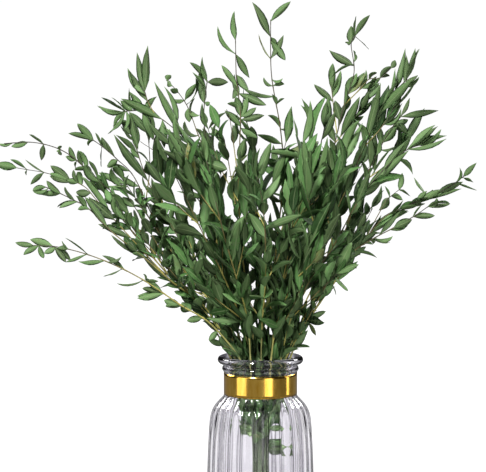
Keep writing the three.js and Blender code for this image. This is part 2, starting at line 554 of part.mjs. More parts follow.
// Twigs that grow by chance leave the stem one after another; a twig turns on until it grows clear
function twigsOf(stem, count, chance, others) {
  const twigs = [];
  for (let i = 0; i < count; i += 1) {
    const middle = FIRST_TWIG + (LAST_TWIG - FIRST_TWIG) * (i + 0.5) / count;
    const share = middle + chance.spread(TWIG_PLACE_WANDER);
    const { point, direction } = stem.at(stem.length * share);
    const size = (LOW_TWIG_SIZE - TWIG_SIZE_LOST * share) * (1 + chance.spread(TWIG_SIZE_WANDER));
    const half = TWIG_LENGTH * size / 2;
    const angle = radians(TWIG_ANGLE + chance.spread(TWIG_ANGLE_WANDER));
    const firstTurn = i * Math.PI + chance.spread(TWIG_TURN_WANDER);
    for (let attempt = 0; attempt < TWIG_TRIES; attempt += 1) {
      const lean = leanFrom(direction, angle, firstTurn + attempt * radians(GOLDEN_ANGLE));
      lean.addScaledVector(UP, TWIG_LIFT).normalize();
      const bend = lean.clone().lerp(direction, TWIG_BEND).addScaledVector(UP, TWIG_BEND_LIFT).normalize();
      const elbow = point.clone().addScaledVector(lean, half);
      const points = [point, elbow, elbow.clone().addScaledVector(bend, half)];
      const shoot = new Shoot(points, TWIG_RADIUS, TWIG_TIP_RADIUS);
      const rod = rodAlong(shoot, TWIG_SIDES);
      if (isClear(rod, others)) {
        twigs.push({ shoot, rod, leafy: 1, number: i });
        break;
      }
    }
  }
  return twigs;
}

// Side twigs that were chosen. One lies a little deeper or nearer where that keeps it clear.
function sideTwigsOf(stem, side, firstNumber, others) {
  const twigs = [];
  side.forEach(([share, leafy, ...route], i) => {
    const { point } = stem.at(stem.length * share);
    for (const shift of DEPTH_TRIES) {
      const places = route.map(([across, up, depth], k) => (
        sight([across, up, depth + shift * (k + 1) / route.length])
      ));
      const shoot = new Shoot([point, ...places], TWIG_RADIUS, TWIG_TIP_RADIUS);
      const rod = rodAlong(shoot, TWIG_SIDES);
      if (isClear(rod, others)) {
        twigs.push({ shoot, rod, leafy, number: firstNumber + i });
        break;
      }
    }
  });
  return twigs;
}

// One wall of glass: the outline turned round the axis, with every second meridian pressed in
// along the fluted corners
function makeVase() {
  const outline = VASE_OUTLINE.map(([radius, height]) => new THREE.Vector2(radius, height));
  const vase = new THREE.LatheGeometry(outline, FLUTES * 2);
  vase.rotateX(Math.PI / 2);
  const places = vase.attributes.position;
  for (let meridian = 1; meridian < FLUTES * 2; meridian += 2) {
    for (let corner = FIRST_FLUTED; corner <= LAST_FLUTED; corner += 1) {
      const i = meridian * outline.length + corner;
      const radius = Math.hypot(places.getX(i), places.getY(i));
      const kept = (radius - FLUTE_DEPTH) / radius;
      places.setX(i, places.getX(i) * kept);
      places.setY(i, places.getY(i) * kept);
    }
  }
  return new THREE.Mesh(vase, glass);
}

// A flat band round the neck, which touches it only on the ridges between the flutes
function makeRibbon() {
  const inside = NECK_RADIUS + GAP;
  const outside = inside + RIBBON_THICKNESS;
  const top = RIBBON_FOOT + RIBBON_WIDTH;
  const outline = [
    new THREE.Vector2(inside, RIBBON_FOOT),
    new THREE.Vector2(outside, RIBBON_FOOT),
    new THREE.Vector2(outside, top),
    new THREE.Vector2(inside, top),
    new THREE.Vector2(inside, RIBBON_FOOT),
  ];
  const ribbon = new THREE.LatheGeometry(outline, FLUTES);
  ribbon.rotateX(Math.PI / 2);
  return new THREE.Mesh(ribbon, gold);
}

// All the stems and twigs come first, and then each branch puts out the leaves that have room
function makeBranches(holders) {
  const stems = BRANCHES.map(stemOf);
  const wood = stems.map((stem) => [rodAlong(stem, STEM_SIDES)]);
  const twigs = stems.map((stem, i) => {
    const { twigs: count, side } = BRANCHES[i];
    const others = wood.flatMap((rods, j) => (j === i ? [] : rods)).concat(holders);
    const grown = twigsOf(stem, count, new Chance(i + 1), others);
    grown.push(...sideTwigsOf(stem, side, count, others));
    wood[i].push(...grown.map((twig) => twig.rod));
    return grown;
  });
  const finished = [];
  stems.forEach((stem, i) => {
    const others = wood.flatMap((rods, j) => (j === i ? [] : rods)).concat(finished, holders);
    const { lip, leaf: kind, leafy: stemLeafy, leaves: chosen } = BRANCHES[i];
    const leaves = leavesOf(stem, LEAFY_FROM, stemLeafy, kind, new Chance(STEM_LEAVES_SEED + i));
    twigs[i].forEach(({ shoot, leafy, number }) => {
      const seed = TWIG_LEAVES_SEED + SEEDS_PER_BRANCH * i + number;
      leaves.push(...leavesOf(shoot, BARE_TWIG, leafy, kind, new Chance(seed)));
    });
    const shoots = [stem, ...twigs[i].map(({ shoot }) => shoot)];
    leaves.push(...chosenLeavesOf(shoots, chosen, kind, new Chance(CHOSEN_LEAVES_SEED + i)));
    if (Math.hypot(...lip) > LOW_LEAF_MOUTH && lip[1] <= 0) {
      leaves.push(lowLeafOf(stem, lip, new Chance(LOW_LEAF_SEED + i)));
    }
    const grown = leaves.map(bladeOf).filter((blade) => isClear(blade, others));
    finished.push(wasm.Manifold.union([...wood[i], ...grown]));
  });
  return finished.map((solid, i) => {
    const branch = new THREE.Mesh(geometryOf(solid), foliage);
    branch.name = `branch_${String(i + 1).padStart(2, "0")}`;
    return branch;
  });
}

const bouquet = new THREE.Group();
const vase = makeVase();
vase.name = "vase";
bouquet.add(vase);
const ribbon = makeRibbon();
ribbon.name = "neck_ribbon";
bouquet.add(ribbon);
bouquet.add(...makeBranches([vase, ribbon].map((mesh) => solidOf(mesh.geometry.clone()))));

export default bouquet;
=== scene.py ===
# %% [markdown]
# # Eucalyptus branches in a ribbed glass vase
# The object is a bouquet of cut willow eucalyptus that stands in a clear bottle vase with a gold
# ribbon round its neck. This lesson builds its looks around a fixed model of the same object.
# Everything is in metres where Blender needs it, and in millimetres where a real size is named.

import math

import bpy
import numpy as np
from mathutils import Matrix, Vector


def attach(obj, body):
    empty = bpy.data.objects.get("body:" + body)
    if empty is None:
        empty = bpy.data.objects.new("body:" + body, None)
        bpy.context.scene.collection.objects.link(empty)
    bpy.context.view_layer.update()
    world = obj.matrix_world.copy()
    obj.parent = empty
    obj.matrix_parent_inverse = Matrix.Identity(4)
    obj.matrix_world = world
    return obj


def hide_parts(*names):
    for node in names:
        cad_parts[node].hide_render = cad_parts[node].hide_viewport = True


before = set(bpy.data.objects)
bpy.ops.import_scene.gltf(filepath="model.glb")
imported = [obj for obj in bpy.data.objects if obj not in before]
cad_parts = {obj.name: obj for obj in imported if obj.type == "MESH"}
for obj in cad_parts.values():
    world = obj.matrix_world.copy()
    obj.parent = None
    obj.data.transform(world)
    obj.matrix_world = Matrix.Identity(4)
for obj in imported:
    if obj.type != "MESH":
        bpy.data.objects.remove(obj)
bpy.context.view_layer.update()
MM = 0.001
print("fixed pieces:", len(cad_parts))

# %% [markdown]
# ## The camera
# The picture was taken from straight in front, a little above the bouquet's middle, with a long
# lens. A long lens far away keeps the vase's rim a thin ellipse. The camera could be aimed by hand,
# but working its turn out from two points keeps the aim exact.

# %% Place the camera
EYE = np.array([-17.0, -1700.0, 414.0])
AIM = np.array([-17.5, 0.0, 310.5])
LENS = 126.0

camera_data = bpy.data.cameras.new("camera")
camera_data.lens = LENS
camera_data.sensor_width = 36.0
camera = bpy.data.objects.new("camera", camera_data)
camera.location = Vector(EYE * MM)
camera.rotation_euler = Vector(AIM - EYE).to_track_quat("-Z", "Y").to_euler()
bpy.context.scene.collection.objects.link(camera)
bpy.context.scene.camera = camera
print("camera at", tuple(round(x, 3) for x in camera.location))

# %% [markdown]
# ## Light and floor
# A product picture on white could use one big light box on every side, but then every leaf would
# look equally bright. Here a narrow key light stands high in front, so that leaves show light upper
# sides and dark gaps between them. A small low fill reaches the foot of the bouquet, and two soft
# lights behind keep its back and sides readable. The surround is white to the camera, pale grey
# through the glass, and dim to the leaves, which keeps the background white and the greens deep.

# %% Helpers for nodes
SEEN_DIRECTLY = 1.02
SEEN_THROUGH_GLASS = 0.78
SURROUND = 0.03
WHITE = (1, 1, 1, 1)
BLACK = (0, 0, 0, 1)

scene = bpy.context.scene
scene.view_settings.view_transform = "Standard"
scene.view_settings.look = "None"


def add_node(tree, kind, inputs=None, **settings):
    """One new node. Settings are its own properties; inputs are numbers, colours or sockets."""
    node = tree.nodes.new(kind)
    for name, value in settings.items():
        setattr(node, name, value)
    for name, value in (inputs or {}).items():
        if isinstance(value, bpy.types.NodeSocket):
            tree.links.new(value, node.inputs[name])
        else:
            node.inputs[name].default_value = value
    return node


def math_node(tree, operation, first, second=0.0, third=0.0):
    """The output of one operation on two or three values."""
    return add_node(tree, "ShaderNodeMath", {0: first, 1: second, 2: third}, operation=operation).outputs[0]


def strength_by_ray(tree):
    """How strongly the surround shines: one value for what the camera sees, one for what it sees
    through glass, and one for all the light that falls on things."""
    path = add_node(tree, "ShaderNodeLightPath").outputs
    direct = math_node(tree, "MULTIPLY_ADD", path["Is Camera Ray"], SEEN_DIRECTLY - SURROUND, SURROUND)
    return math_node(tree, "MULTIPLY_ADD", path["Is Transmission Ray"], SEEN_THROUGH_GLASS - SURROUND, direct)


# %% Light the scene
world = bpy.data.worlds.new("surround")
world.use_nodes = True
scene.world = world
surround = world.node_tree
surround.nodes.clear()
backdrop = add_node(surround, "ShaderNodeBackground",
                    {"Color": WHITE, "Strength": strength_by_ray(surround)})
add_node(surround, "ShaderNodeOutputWorld", {"Surface": backdrop.outputs[0]})


def add_area_light(name, place, aim, size, power):
    """An oblong soft light at a place, turned towards a point: width and height in metres, and watts."""
    data = bpy.data.lights.new(name, "AREA")
    data.shape = "RECTANGLE"
    data.size, data.size_y = size
    data.energy = power
    lamp = bpy.data.objects.new(name, data)
    lamp.location = place
    lamp.rotation_euler = (Vector(aim) - Vector(place)).to_track_quat("-Z", "Y").to_euler()
    scene.collection.objects.link(lamp)
    return lamp


add_area_light("key", (-1.0, -1.9, 2.2), (0, 0, 0.35), (0.4, 0.9), 146)
add_area_light("fill", (0.6, -1.4, 0.2), (0, 0, 0.25), (0.5, 0.5), 15)
add_area_light("right back", (1.7, 1.6, 1.9), (0, 0, 0.35), (0.8, 1.2), 56)
add_area_light("left back", (-1.9, 1.3, 1.7), (0, 0, 0.35), (0.8, 1.2), 46)

# %% Lay the floor
FLOOR_RADIUS = 8.0
FLOOR_CORNERS = 64
FLOOR_DROP = 0.0004

floor_mesh = bpy.data.meshes.new("floor")
corner = np.linspace(0, 2 * math.pi, FLOOR_CORNERS, endpoint=False)
rim = np.column_stack([np.cos(corner), np.sin(corner), np.zeros_like(corner)]) * FLOOR_RADIUS
floor_mesh.from_pydata((rim - [0, 0, FLOOR_DROP]).tolist(), [], [list(range(FLOOR_CORNERS))])
floor = bpy.data.objects.new("floor", floor_mesh)
scene.collection.objects.link(floor)
paint = bpy.data.materials.new("floor paint")
paint.use_nodes = True
paint_shader = paint.node_tree.nodes["Principled BSDF"]
paint_shader.inputs["Base Color"].default_value = (0.08, 0.08, 0.08, 1)
paint_shader.inputs["Roughness"].default_value = 0.9
paint_shader.inputs["Emission Color"].default_value = WHITE
paint.node_tree.links.new(strength_by_ray(paint.node_tree), paint_shader.inputs["Emission Strength"])
floor_mesh.materials.append(paint)
print("floor radius:", FLOOR_RADIUS, "m")

# %% [markdown]
# Glass and foil look like what they mirror. Three bright upright cards stand round the vase, out of
# the camera's sight, and give the ribbon its bars of light and the glass its streaks. Brighter lamps
# could do the same, but they would light the leaves too.

# %% Stand cards round the vase
CARD_DISTANCE = 0.8
CARD_HEIGHT = 0.7


def add_card(name, azimuth, half_angle, glow):
    """An upright card that only glass and foil mirror. It stands at an azimuth, in degrees to the
    right of the camera, and spans a half angle to both sides."""
    out = np.array([math.sin(math.radians(azimuth)), -math.cos(math.radians(azimuth)), 0.0])
    side = np.array([-out[1], out[0], 0.0]) * CARD_DISTANCE * math.tan(math.radians(half_angle))
    foot = out * CARD_DISTANCE
    top = foot + [0, 0, CARD_HEIGHT]
    mesh = bpy.data.meshes.new(name)
    corners = [tuple(x) for x in (foot - side, foot + side, top + side, top - side)]
    mesh.from_pydata(corners, [], [(0, 1, 2, 3)])
    card_paint = bpy.data.materials.new(name)
    card_paint.use_nodes = True
    card_shader = card_paint.node_tree.nodes["Principled BSDF"]
    card_shader.inputs["Base Color"].default_value = BLACK
    card_shader.inputs["Specular IOR Level"].default_value = 0
    card_shader.inputs["Emission Color"].default_value = WHITE
    card_shader.inputs["Emission Strength"].default_value = glow
    mesh.materials.append(card_paint)
    card = bpy.data.objects.new(name, mesh)
    card.visible_camera = False
    card.visible_diffuse = False
    card.visible_shadow = False
    scene.collection.objects.link(card)
    return card


cards = [add_card("left light", -60, 15, 2.0), add_card("right light", 24, 14, 2.0),
         add_card("far right light", 96, 5, 2.6)]
print("cards:", [card.name for card in cards])

# %% [markdown]
# ## Helpers for surfaces
# Every new piece is a set of points worked out as arrays. Two kinds of surface are enough here:
# rings of points carried along a path and closed at both ends (stems and leaves), and an outline
# turned round the vase's axis.

# %% Make a piece out of arrays


def unit(vectors):
    """Vectors shortened or stretched to length one."""
    return vectors / np.linalg.norm(vectors, axis=-1, keepdims=True)


def new_piece(name, points, faces, material):
    """A smooth piece at the origin, from points in millimetres, that rides on the one body."""
    mesh = bpy.data.meshes.new(name)
    mesh.from_pydata((points * MM).tolist(), [], faces)
    mesh.polygons.foreach_set("use_smooth", np.ones(len(mesh.polygons), bool))
    mesh.materials.append(material)
    piece = bpy.data.objects.new(name, mesh)
    scene.collection.objects.link(piece)
    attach(piece, "root")
    return piece


def give_uv(piece, name, values):
    """A UV map from one pair of numbers for each point."""
    mesh = piece.data
    corners = np.zeros(len(mesh.loops), int)
    mesh.loops.foreach_get("vertex_index", corners)
    layer = mesh.uv_layers.new(name=name)
    layer.uv.foreach_set("vector", values[corners].astype(np.float32).ravel())


def give_number(piece, name, values, domain="POINT"):
    """A named number for each point or each face."""
    attribute = piece.data.attributes.new(name, "FLOAT", domain)
    attribute.data.foreach_set("value", np.asarray(values, np.float32))


def ringed_faces(rings, sides):
    """Faces of rings of points joined one to the next, with a pole before them and one after.
    The first pole is point 0, ring i starts at 1 + i * sides, and the last pole is the last point."""
    i, j = np.meshgrid(np.arange(rings - 1), np.arange(sides), indexing="ij")
    low = 1 + i * sides
    high = low + sides
    following = (j + 1) % sides
    quads = np.stack([low + j, low + following, high + following, high + j], axis=-1)
    around = np.arange(sides)
    beside = (around + 1) % sides
    last = 1 + rings * sides
    foot = np.stack([np.zeros_like(around), 1 + beside, 1 + around], axis=-1)
    tip = np.stack([1 + (rings - 1) * sides + around, 1 + (rings - 1) * sides + beside,
                    np.full_like(around, last)], axis=-1)
    return quads.reshape(-1, 4), np.vstack([foot, tip])


def repeated(faces, copies, step):
    """The same faces for several copies of a shape, each a number of points after the last."""
    shift = (np.arange(copies) * step)[:, None, None]
    return (faces[None] + shift).reshape(-1, faces.shape[1])


# %% [markdown]
# ## How the branches grow
# Eucalyptus leaves grow in opposite pairs, each pair turned a quarter from the last, and side
# twigs leave the stem in turn. The fixed model grew its branches by that rule, with a small
# source of chance for each shoot. The same rule is written out here, so that every stem, twig and
# leaf comes out where the fixed model has it. That model shows only every fifth pair of leaves,
# and the rest are filled in here.

# %% Heights in the vase and kinds of leaf
MOUTH_HEIGHT = 160.0
LIP_HEIGHT = 188.0
FOOT_HEIGHT = 8.3
TIE_HEIGHT = 92.0
FOOT_SPREAD = 0.33
TIE_SPREAD = 0.28
MOUTH_SPREAD = 0.8
WILLOW = {"length": 39.0, "width": 9.6, "angle": 21.0, "spacing": 15.0, "shrink": 0.12, "full": (0.85, 1.15)}
BROAD = {"length": 29.0, "width": 10.6, "angle": 31.0, "spacing": 15.0, "shrink": 0.25, "full": (0.75, 0.95)}
OVAL = {"length": 21.0, "width": 8.2, "angle": 40.0, "spacing": 13.0, "shrink": 0.2, "full": (0.75, 0.8)}
NARROW = {"length": 30.0, "width": 7.6, "angle": 17.0, "spacing": 12.0, "shrink": 0.15, "full": (0.8, 1.1)}
AIRY = {"length": 27.0, "width": 9.0, "angle": 36.0, "spacing": 21.0, "shrink": 0.05, "full": (0.8, 0.95)}
SPARSE = {"length": 21.0, "width": 7.6, "angle": 40.0, "spacing": 18.0, "shrink": 0.05, "full": (0.8, 0.85)}
print("longest leaf:", WILLOW["length"], "mm, shortest:", OVAL["length"], "mm")

# %% The branches
# Each branch has its place in the vase's mouth, its kind of leaf, a number of twigs that grow by
# chance, the share of its stem that is leafy by chance, and its route. A point of a route is how far
# it looks across and up from the vase's foot, and how deep it lies. A side twig starts at a share of
# the stem's length and is leafy up to a share of its own. A leaf that was chosen one by one has the
# places where its foot and its tip look across and up, and the width it shows.
BRANCHES = [
    {"lip": (-30, 0), "leaf": SPARSE, "twigs": 0, "leafy": 0.8,
     "route": [(-58, 233, 8), (-100, 280, 18), (-134, 322, 20), (-158, 356, 15), (-176, 379, 12),
               (-198, 396, 8), (-226, 404, 4), (-256, 403, 0)],
     "side": [(0.56, 1, (-140, 344, 4), (-162, 366, -6)), (0.5, 1, (-120, 330, 0), (-140, 362, -8)),
              (0.62, 1, (-150, 352, 24), (-164, 370, 26))],
     "leaves": [(-232, 405, -249, 400, 6.5), (-216, 403, -231, 412, 1.8), (-216, 402, -219, 386, 5.2),
                (-200, 398, -204, 395, 3), (-200, 397, -199, 391, 2), (-200, 396, -200, 401, 2.5),
                (-184, 386, -195, 390, 4), (-183, 386, -191, 400, 3.5), (-183, 385, -183, 375, 2.5),
                (-174, 377, -182, 397, 5), (-247, 402, -262, 403, 1.8), (-174, 376, -186, 377, 3),
                (-14, 116, -22, 141, 6), (-18, 132, -25, 147, 7)]},
    {"lip": (-25, -9.5), "leaf": OVAL, "twigs": 0, "leafy": 0.8,
     "route": [(-55, 238, -18), (-88, 264, -34), (-118, 290, -44), (-148, 314, -46), (-172, 338, -42),
               (-186, 346, -38), (-200, 353, -34), (-216, 360, -30)],
     "side": [(0.66, 0.4, (-160, 342, -34), (-176, 360, -28), (-196, 368, -24), (-216, 374, -20),
               (-234, 377, -18), (-245, 379, -16)),
              (0.55, 1, (-134, 322, -30), (-150, 346, -24)), (0.48, 1, (-112, 302, -52), (-136, 328, -62))],
     "leaves": [(-245, 379, -264, 383, 8.5), (-233, 377, -250, 387, 3.5), (-233, 377, -234, 371, 1.5),
                (-216, 374, -235, 387, 2.2), (-216, 374, -230, 362, 5), (-190, 366, -210, 381, 8),
                (-190, 366, -211, 373, 7), (-178, 372, -193, 366, 6), (-178, 372, -187, 377, 3),
                (-214, 360, -228, 356, 4.5), (-200, 354, -214, 366, 5), (-200, 354, -222, 352, 6),
                (-184, 348, -196, 360, 2.5), (-184, 346, -204, 339, 3), (-173, 340, -185, 351, 7),
                (-171, 336, -183, 337, 5), (-172, 350, -185, 354, 8), (-131, 306, -164, 323, 6),
                (-113, 288, -150, 312, 1.8), (-112, 292, -131, 309, 2.5), (-84, 262, -118, 290, 2.5),
                (-11, 124, -13, 108, 6), (-14, 130, -17, 148, 8)]},
    {"lip": (-20, 0), "leaf": OVAL, "twigs": 2, "leafy": 0.85,
     "route": [(-47, 240, 28), (-82, 282, 48), (-106, 326, 54), (-126, 369, 46), (-143, 387, 40),
               (-158, 400, 34), (-168, 407, 30)],
     "side": [(0.62, 1, (-126, 350, 40), (-138, 368, 34)), (0.52, 1, (-96, 334, 44), (-112, 358, 40))],
     "leaves": [(-168, 407, -183, 423, 7.5), (-168, 408, -192, 413, 5.5), (-168, 406, -172, 400, 1.8),
                (-158, 400, -165, 414, 2.5), (-144, 389, -159, 410, 5), (-158, 400, -159, 379, 1.8),
                (-143, 387, -154, 380, 7), (-130, 375, -147, 383, 4), (-135, 361, -162, 374, 7),
                (-125, 357, -141, 372, 5), (-10, 127, -11, 147, 9)]},
    {"lip": (-20, -19), "leaf": SPARSE, "twigs": 0, "leafy": 0.48,
     "route": [(-50, 222, -34), (-80, 241, -46), (-117, 266, -54), (-150, 283, -56), (-180, 294, -54),
               (-207, 300, -50), (-229, 301, -46)],
     "side": [],
     "leaves": [(-229, 301, -246, 304, 5.5), (-222, 300, -238, 291, 5), (-222, 300, -217, 288, 4),
                (-207, 300, -231, 307, 8), (-205, 299, -217, 293, 5), (-203, 298, -190, 286, 5.5),
                (-192, 298, -204, 299, 5), (-192, 298, -199, 306, 2), (-173, 292, -196, 309, 2.2),
                (-174, 292, -196, 284, 3.2), (-155, 286, -183, 285, 5.2), (-136, 277, -159, 291, 4),
                (-152, 286, -139, 290, 1.6), (-138, 277, -158, 270, 2.2), (-117, 266, -145, 263, 2),
                (-97, 255, -116, 269, 6), (-97, 254, -119, 258, 6), (-100, 251, -125, 250, 6.5),
                (-80, 241, -97, 246, 8), (-70, 243, -78, 236, 8), (-57, 228, -74, 225, 7),
                (-43, 214, -52, 205, 6), (-116, 266, -102, 265, 1.6), (-116, 266, -118, 273, 1.6)]},
    {"lip": (-15, -9.5), "leaf": WILLOW, "twigs": 1, "leafy": 0.86,
     "route": [(-30, 240, -18), (-43, 300, -26), (-52, 354, -26), (-66, 396, -20), (-94, 424, -14),
               (-116, 435, -10), (-137, 435, -8)],
     "side": [(0.93, 0, (-112, 444, -14), (-116, 456, -16)), (0.6, 1, (-66, 376, -30), (-88, 402, -30))],
     "leaves": [(-116, 455, -112, 501, 8.5), (-116, 455, -123, 494, 6.5), (-114, 443, -133, 479, 7.5),
                (-76, 412, -106, 465, 7.5), (-97, 427, -140, 448, 9), (-126, 438, -131, 459, 3),
                (-136, 437, -159, 449, 4), (-137, 435, -164, 441, 4.5), (-137, 435, -149, 449, 2),
                (-137, 434, -153, 412, 5), (-115, 438, -103, 450, 7), (-118, 434, -107, 406, 8),
                (-130, 435, -122, 397, 6), (-97, 427, -96, 398, 8), (-134, 434, -136, 416, 5)]},
    {"lip": (-15, 9.5), "leaf": BROAD, "twigs": 1, "leafy": 0.84,
     "route": [(-20, 250, 34), (-33, 300, 58), (-43, 355, 62), (-52, 396, 54), (-56, 420, 50),
               (-56, 443, 48), (-53, 466, 46)],
     "side": [(0.8, 0, (-62, 411, 50), (-72, 438, 48), (-83, 455, 46), (-94, 466, 45))],
     "leaves": [(-94, 465, -89, 471, 2.4), (-95, 453, -93, 466, 5.5), (-78, 456, -90, 457, 5),
                (-75, 446, -90, 447, 5), (-74, 446, -64, 463, 3), (-66, 446, -64, 471, 3),
                (-71, 439, -71, 424, 8), (-72, 437, -59, 431, 5), (-68, 430, -65, 449, 2.5),
                (-56, 420, -57, 435, 6.5), (-56, 443, -61, 478, 8.5), (-54, 466, -71, 484, 6),
                (-53, 466, -58, 490, 7), (-56, 444, -50, 444, 3), (-53, 464, -32, 464, 8.5),
                (-45, 380, -57, 420, 11), (-62, 411, -78, 428, 5), (-64, 418, -56, 404, 5)]},
    {"lip": (-5, -9.5), "leaf": AIRY, "twigs": 1, "leafy": 0.8,
     "route": [(-13, 250, -26), (-20, 310, -36), (-22, 370, -38), (-20, 430, -33), (-24, 466, -28),
               (-25, 507, -24)],
     "side": [(0.6, 1, (-34, 396, -40), (-42, 420, -42)), (0.72, 0, (-30, 424, -34), (-34, 437, -34))],
     "leaves": [(-25, 506, -26, 535, 6.5), (-25, 492, -43, 520, 3), (-25, 492, -11, 468, 7),
                (-25, 471, -12, 456, 8), (-26, 460, -39, 481, 6), (-26, 462, -28, 447, 6),
                (-22, 454, 6, 441, 8), (-22, 436, -34, 443, 5), (-19, 430, -4, 439, 5),
                (-19, 426, 4, 431, 5), (-20, 422, -36, 436, 7), (-20, 430, -25, 450, 8),
                (-19, 428, -13, 452, 8), (-34, 437, -52, 417, 3.5), (-19, 418, -2, 408, 6),
                (-34, 437, -20, 420, 6), (-2, 128, -5, 147, 8)]},
    {"lip": (-5, 9.5), "leaf": AIRY, "twigs": 0, "leafy": 0.74,
     "route": [(10, 250, 22), (17, 310, 28), (23, 370, 24), (20, 416, 16), (14, 450, 12), (11, 470, 10),
               (10, 490, 9), (10, 526, 8)],
     "side": [(0.56, 1, (36, 366, 20), (44, 396, 16))],
     "leaves": [(10, 508, -9, 544, 9), (10, 524, 30, 544, 6), (10, 487, -2, 512, 3.5),
                (10, 487, 23, 511, 6), (11, 505, 25, 485, 8), (10, 508, 14, 496, 6),
                (12, 460, 3, 469, 3), (12, 460, 24, 462, 2.5), (11, 466, 23, 468, 4),
                (15, 441, 11, 453, 6), (15, 441, 24, 448, 2.5), (20, 417, 6, 432, 5), (20, 417, 31, 428, 2)]},
    {"lip": (0, 0), "leaf": WILLOW, "twigs": 2, "leafy": 1,
     "route": [(-2, 250, -2), (-4, 320, 4), (-7, 386, 8), (-12, 420, 8)],
     "side": [],
     "leaves": []},
    {"lip": (5, 9.5), "leaf": AIRY, "twigs": 2, "leafy": 0.78,
     "route": [(28, 250, 30), (47, 310, 48), (66, 370, 50), (76, 411, 46), (83, 440, 42), (93, 473, 38),
               (90, 502, 36), (95, 511, 35)],
     "side": [(0.8, 0, (72, 446, 50), (70, 464, 50)),
              (0.86, 0, (98, 456, 40), (108, 467, 38), (119, 468, 36), (131, 479, 34))],
     "leaves": [(90, 502, 90, 520, 9), (92, 503, 84, 504, 3), (94, 510, 95, 530, 2.2),
                (95, 511, 109, 531, 6), (95, 510, 108, 496, 2), (92, 483, 92, 496, 4),
                (88, 479, 68, 496, 8.5), (90, 481, 70, 468, 2.5), (70, 462, 72, 483, 7),
                (72, 456, 79, 474, 3.5), (86, 451, 93, 471, 10), (96, 456, 105, 477, 5),
                (108, 467, 117, 474, 5), (119, 468, 131, 480, 5.5), (131, 479, 134, 486, 5),
                (120, 468, 129, 470, 2.5), (99, 458, 120, 469, 5), (71, 444, 53, 462, 6.5),
                (77, 426, 74, 446, 9), (88, 452, 86, 436, 7), (78, 411, 99, 450, 9)]},
    {"lip": (10, 0), "leaf": WILLOW, "twigs": 2, "leafy": 1,
     "route": [(20, 250, -6), (36, 310, -14), (52, 370, -18), (60, 402, -16), (64, 420, -14)],
     "side": [(0.7, 1, (50, 400, -22), (49, 420, -24))],
     "leaves": []},
    {"lip": (20, 0), "leaf": WILLOW, "twigs": 2, "leafy": 0.92,
     "route": [(38, 250, 4), (64, 310, 8), (92, 372, 10), (112, 420, 10), (130, 450, 10), (146, 467, 10)],
     "side": [],
     "leaves": [(133, 455, 144, 498, 6.5), (144, 466, 154, 498, 4.5), (146, 467, 159, 498, 4.5),
                (144, 464, 157, 471, 4.5), (117, 434, 152, 468, 10), (103, 400, 120, 465, 8.5),
                (122, 440, 134, 461, 6)]},
    {"lip": (25, 9.5), "leaf": WILLOW, "twigs": 2, "leafy": 0.92,
     "route": [(47, 248, 38), (80, 305, 62), (102, 362, 68), (120, 400, 66), (132, 420, 60),
               (141, 431, 58)],
     "side": [],
     "leaves": [(141, 431, 178, 436, 7), (141, 431, 149, 449, 3), (133, 423, 147, 412, 9),
                (132, 421, 150, 428, 7), (120, 402, 117, 424, 7), (11, 129, 17, 148, 8)]},
    {"lip": (15, -9.5), "leaf": WILLOW, "twigs": 1, "leafy": 0.9,
     "route": [(42, 250, -32), (74, 302, -48), (98, 346, -54), (122, 376, -52), (142, 394, -46),
               (158, 402, -44)],
     "side": [],
     "leaves": [(146, 396, 178, 421, 6), (156, 402, 181, 418, 4), (150, 398, 187, 411, 6),
                (134, 388, 153, 371, 2.5), (104, 354, 150, 398, 9), (122, 376, 145, 405, 7),
                (7, 127, 4, 148, 9)]},
    {"lip": (30, 0), "leaf": NARROW, "twigs": 0, "leafy": 0.93,
     "route": [(46, 222, 4), (70, 258, 10), (100, 300, 16), (124, 329, 14), (156, 345, 12), (186, 358, 8),
               (204, 371, 4)],
     "side": [(0.72, 0, (124, 343, 18), (130, 350, 18), (140, 358, 18)),
              (0.5, 1, (98, 312, 26), (112, 338, 34))],
     "leaves": [(203, 370, 216, 384, 5.5), (194, 365, 199, 380, 1.8), (203, 368, 213, 364, 1.8),
                (196, 363, 217, 356, 1.6), (176, 353, 203, 365, 7), (154, 344, 186, 359, 7),
                (155, 345, 167, 356, 3.5), (163, 349, 173, 358, 3), (110, 312, 139, 339, 8),
                (129, 350, 118, 336, 8), (131, 350, 143, 346, 4.5), (129, 350, 124, 361, 2.5),
                (140, 358, 142, 376, 5.5), (140, 358, 150, 350, 3.5),
                (9, 95, 31, 98, 9), (16, 132, 24, 147, 7)]},
    {"lip": (25, -9.5), "leaf": OVAL, "twigs": 0, "leafy": 0.76,
     "route": [(42, 225, -22), (64, 262, -36), (92, 294, -46), (115, 309, -46), (132, 318, -44),
               (153, 330, -40), (169, 341, -36)],
     "side": [(0.45, 1, (84, 294, -60), (98, 320, -70))],
     "leaves": [(168, 341, 190, 343, 3.5), (169, 341, 177, 349, 1.8), (153, 330, 175, 331, 6),
                (132, 318, 152, 327, 9), (153, 330, 161, 341, 3.5), (115, 309, 134, 311, 3.5),
                (114, 308, 131, 304, 1.6), (110, 306, 113, 302, 4), (92, 296, 118, 288, 4),
                (100, 298, 118, 316, 6), (84, 286, 106, 300, 6),
                (11, 117, 28, 117, 5)]},
    {"lip": (20, -19), "leaf": BROAD, "twigs": 0, "leafy": 1,
     "route": [(30, 226, -34), (44, 256, -54), (60, 282, -70), (78, 302, -80)],
     "side": [(0.7, 1, (66, 262, -72), (78, 274, -80))],
     "leaves": [(78, 276, 99, 282, 5), (74, 270, 88, 255, 2), (68, 264, 76, 250, 2)]},
    {"lip": (-10, -19), "leaf": WILLOW, "twigs": 3, "leafy": 1,
     "route": [(-20, 228, -36), (-38, 272, -62), (-60, 318, -84), (-78, 356, -96), (-92, 384, -100)],
     "side": [],
     "leaves": []},
    {"lip": (-10, -28), "leaf": WILLOW, "twigs": 3, "leafy": 1,
     "route": [(-13, 226, -44), (-24, 268, -74), (-36, 310, -100), (-46, 350, -116), (-54, 386, -122)],
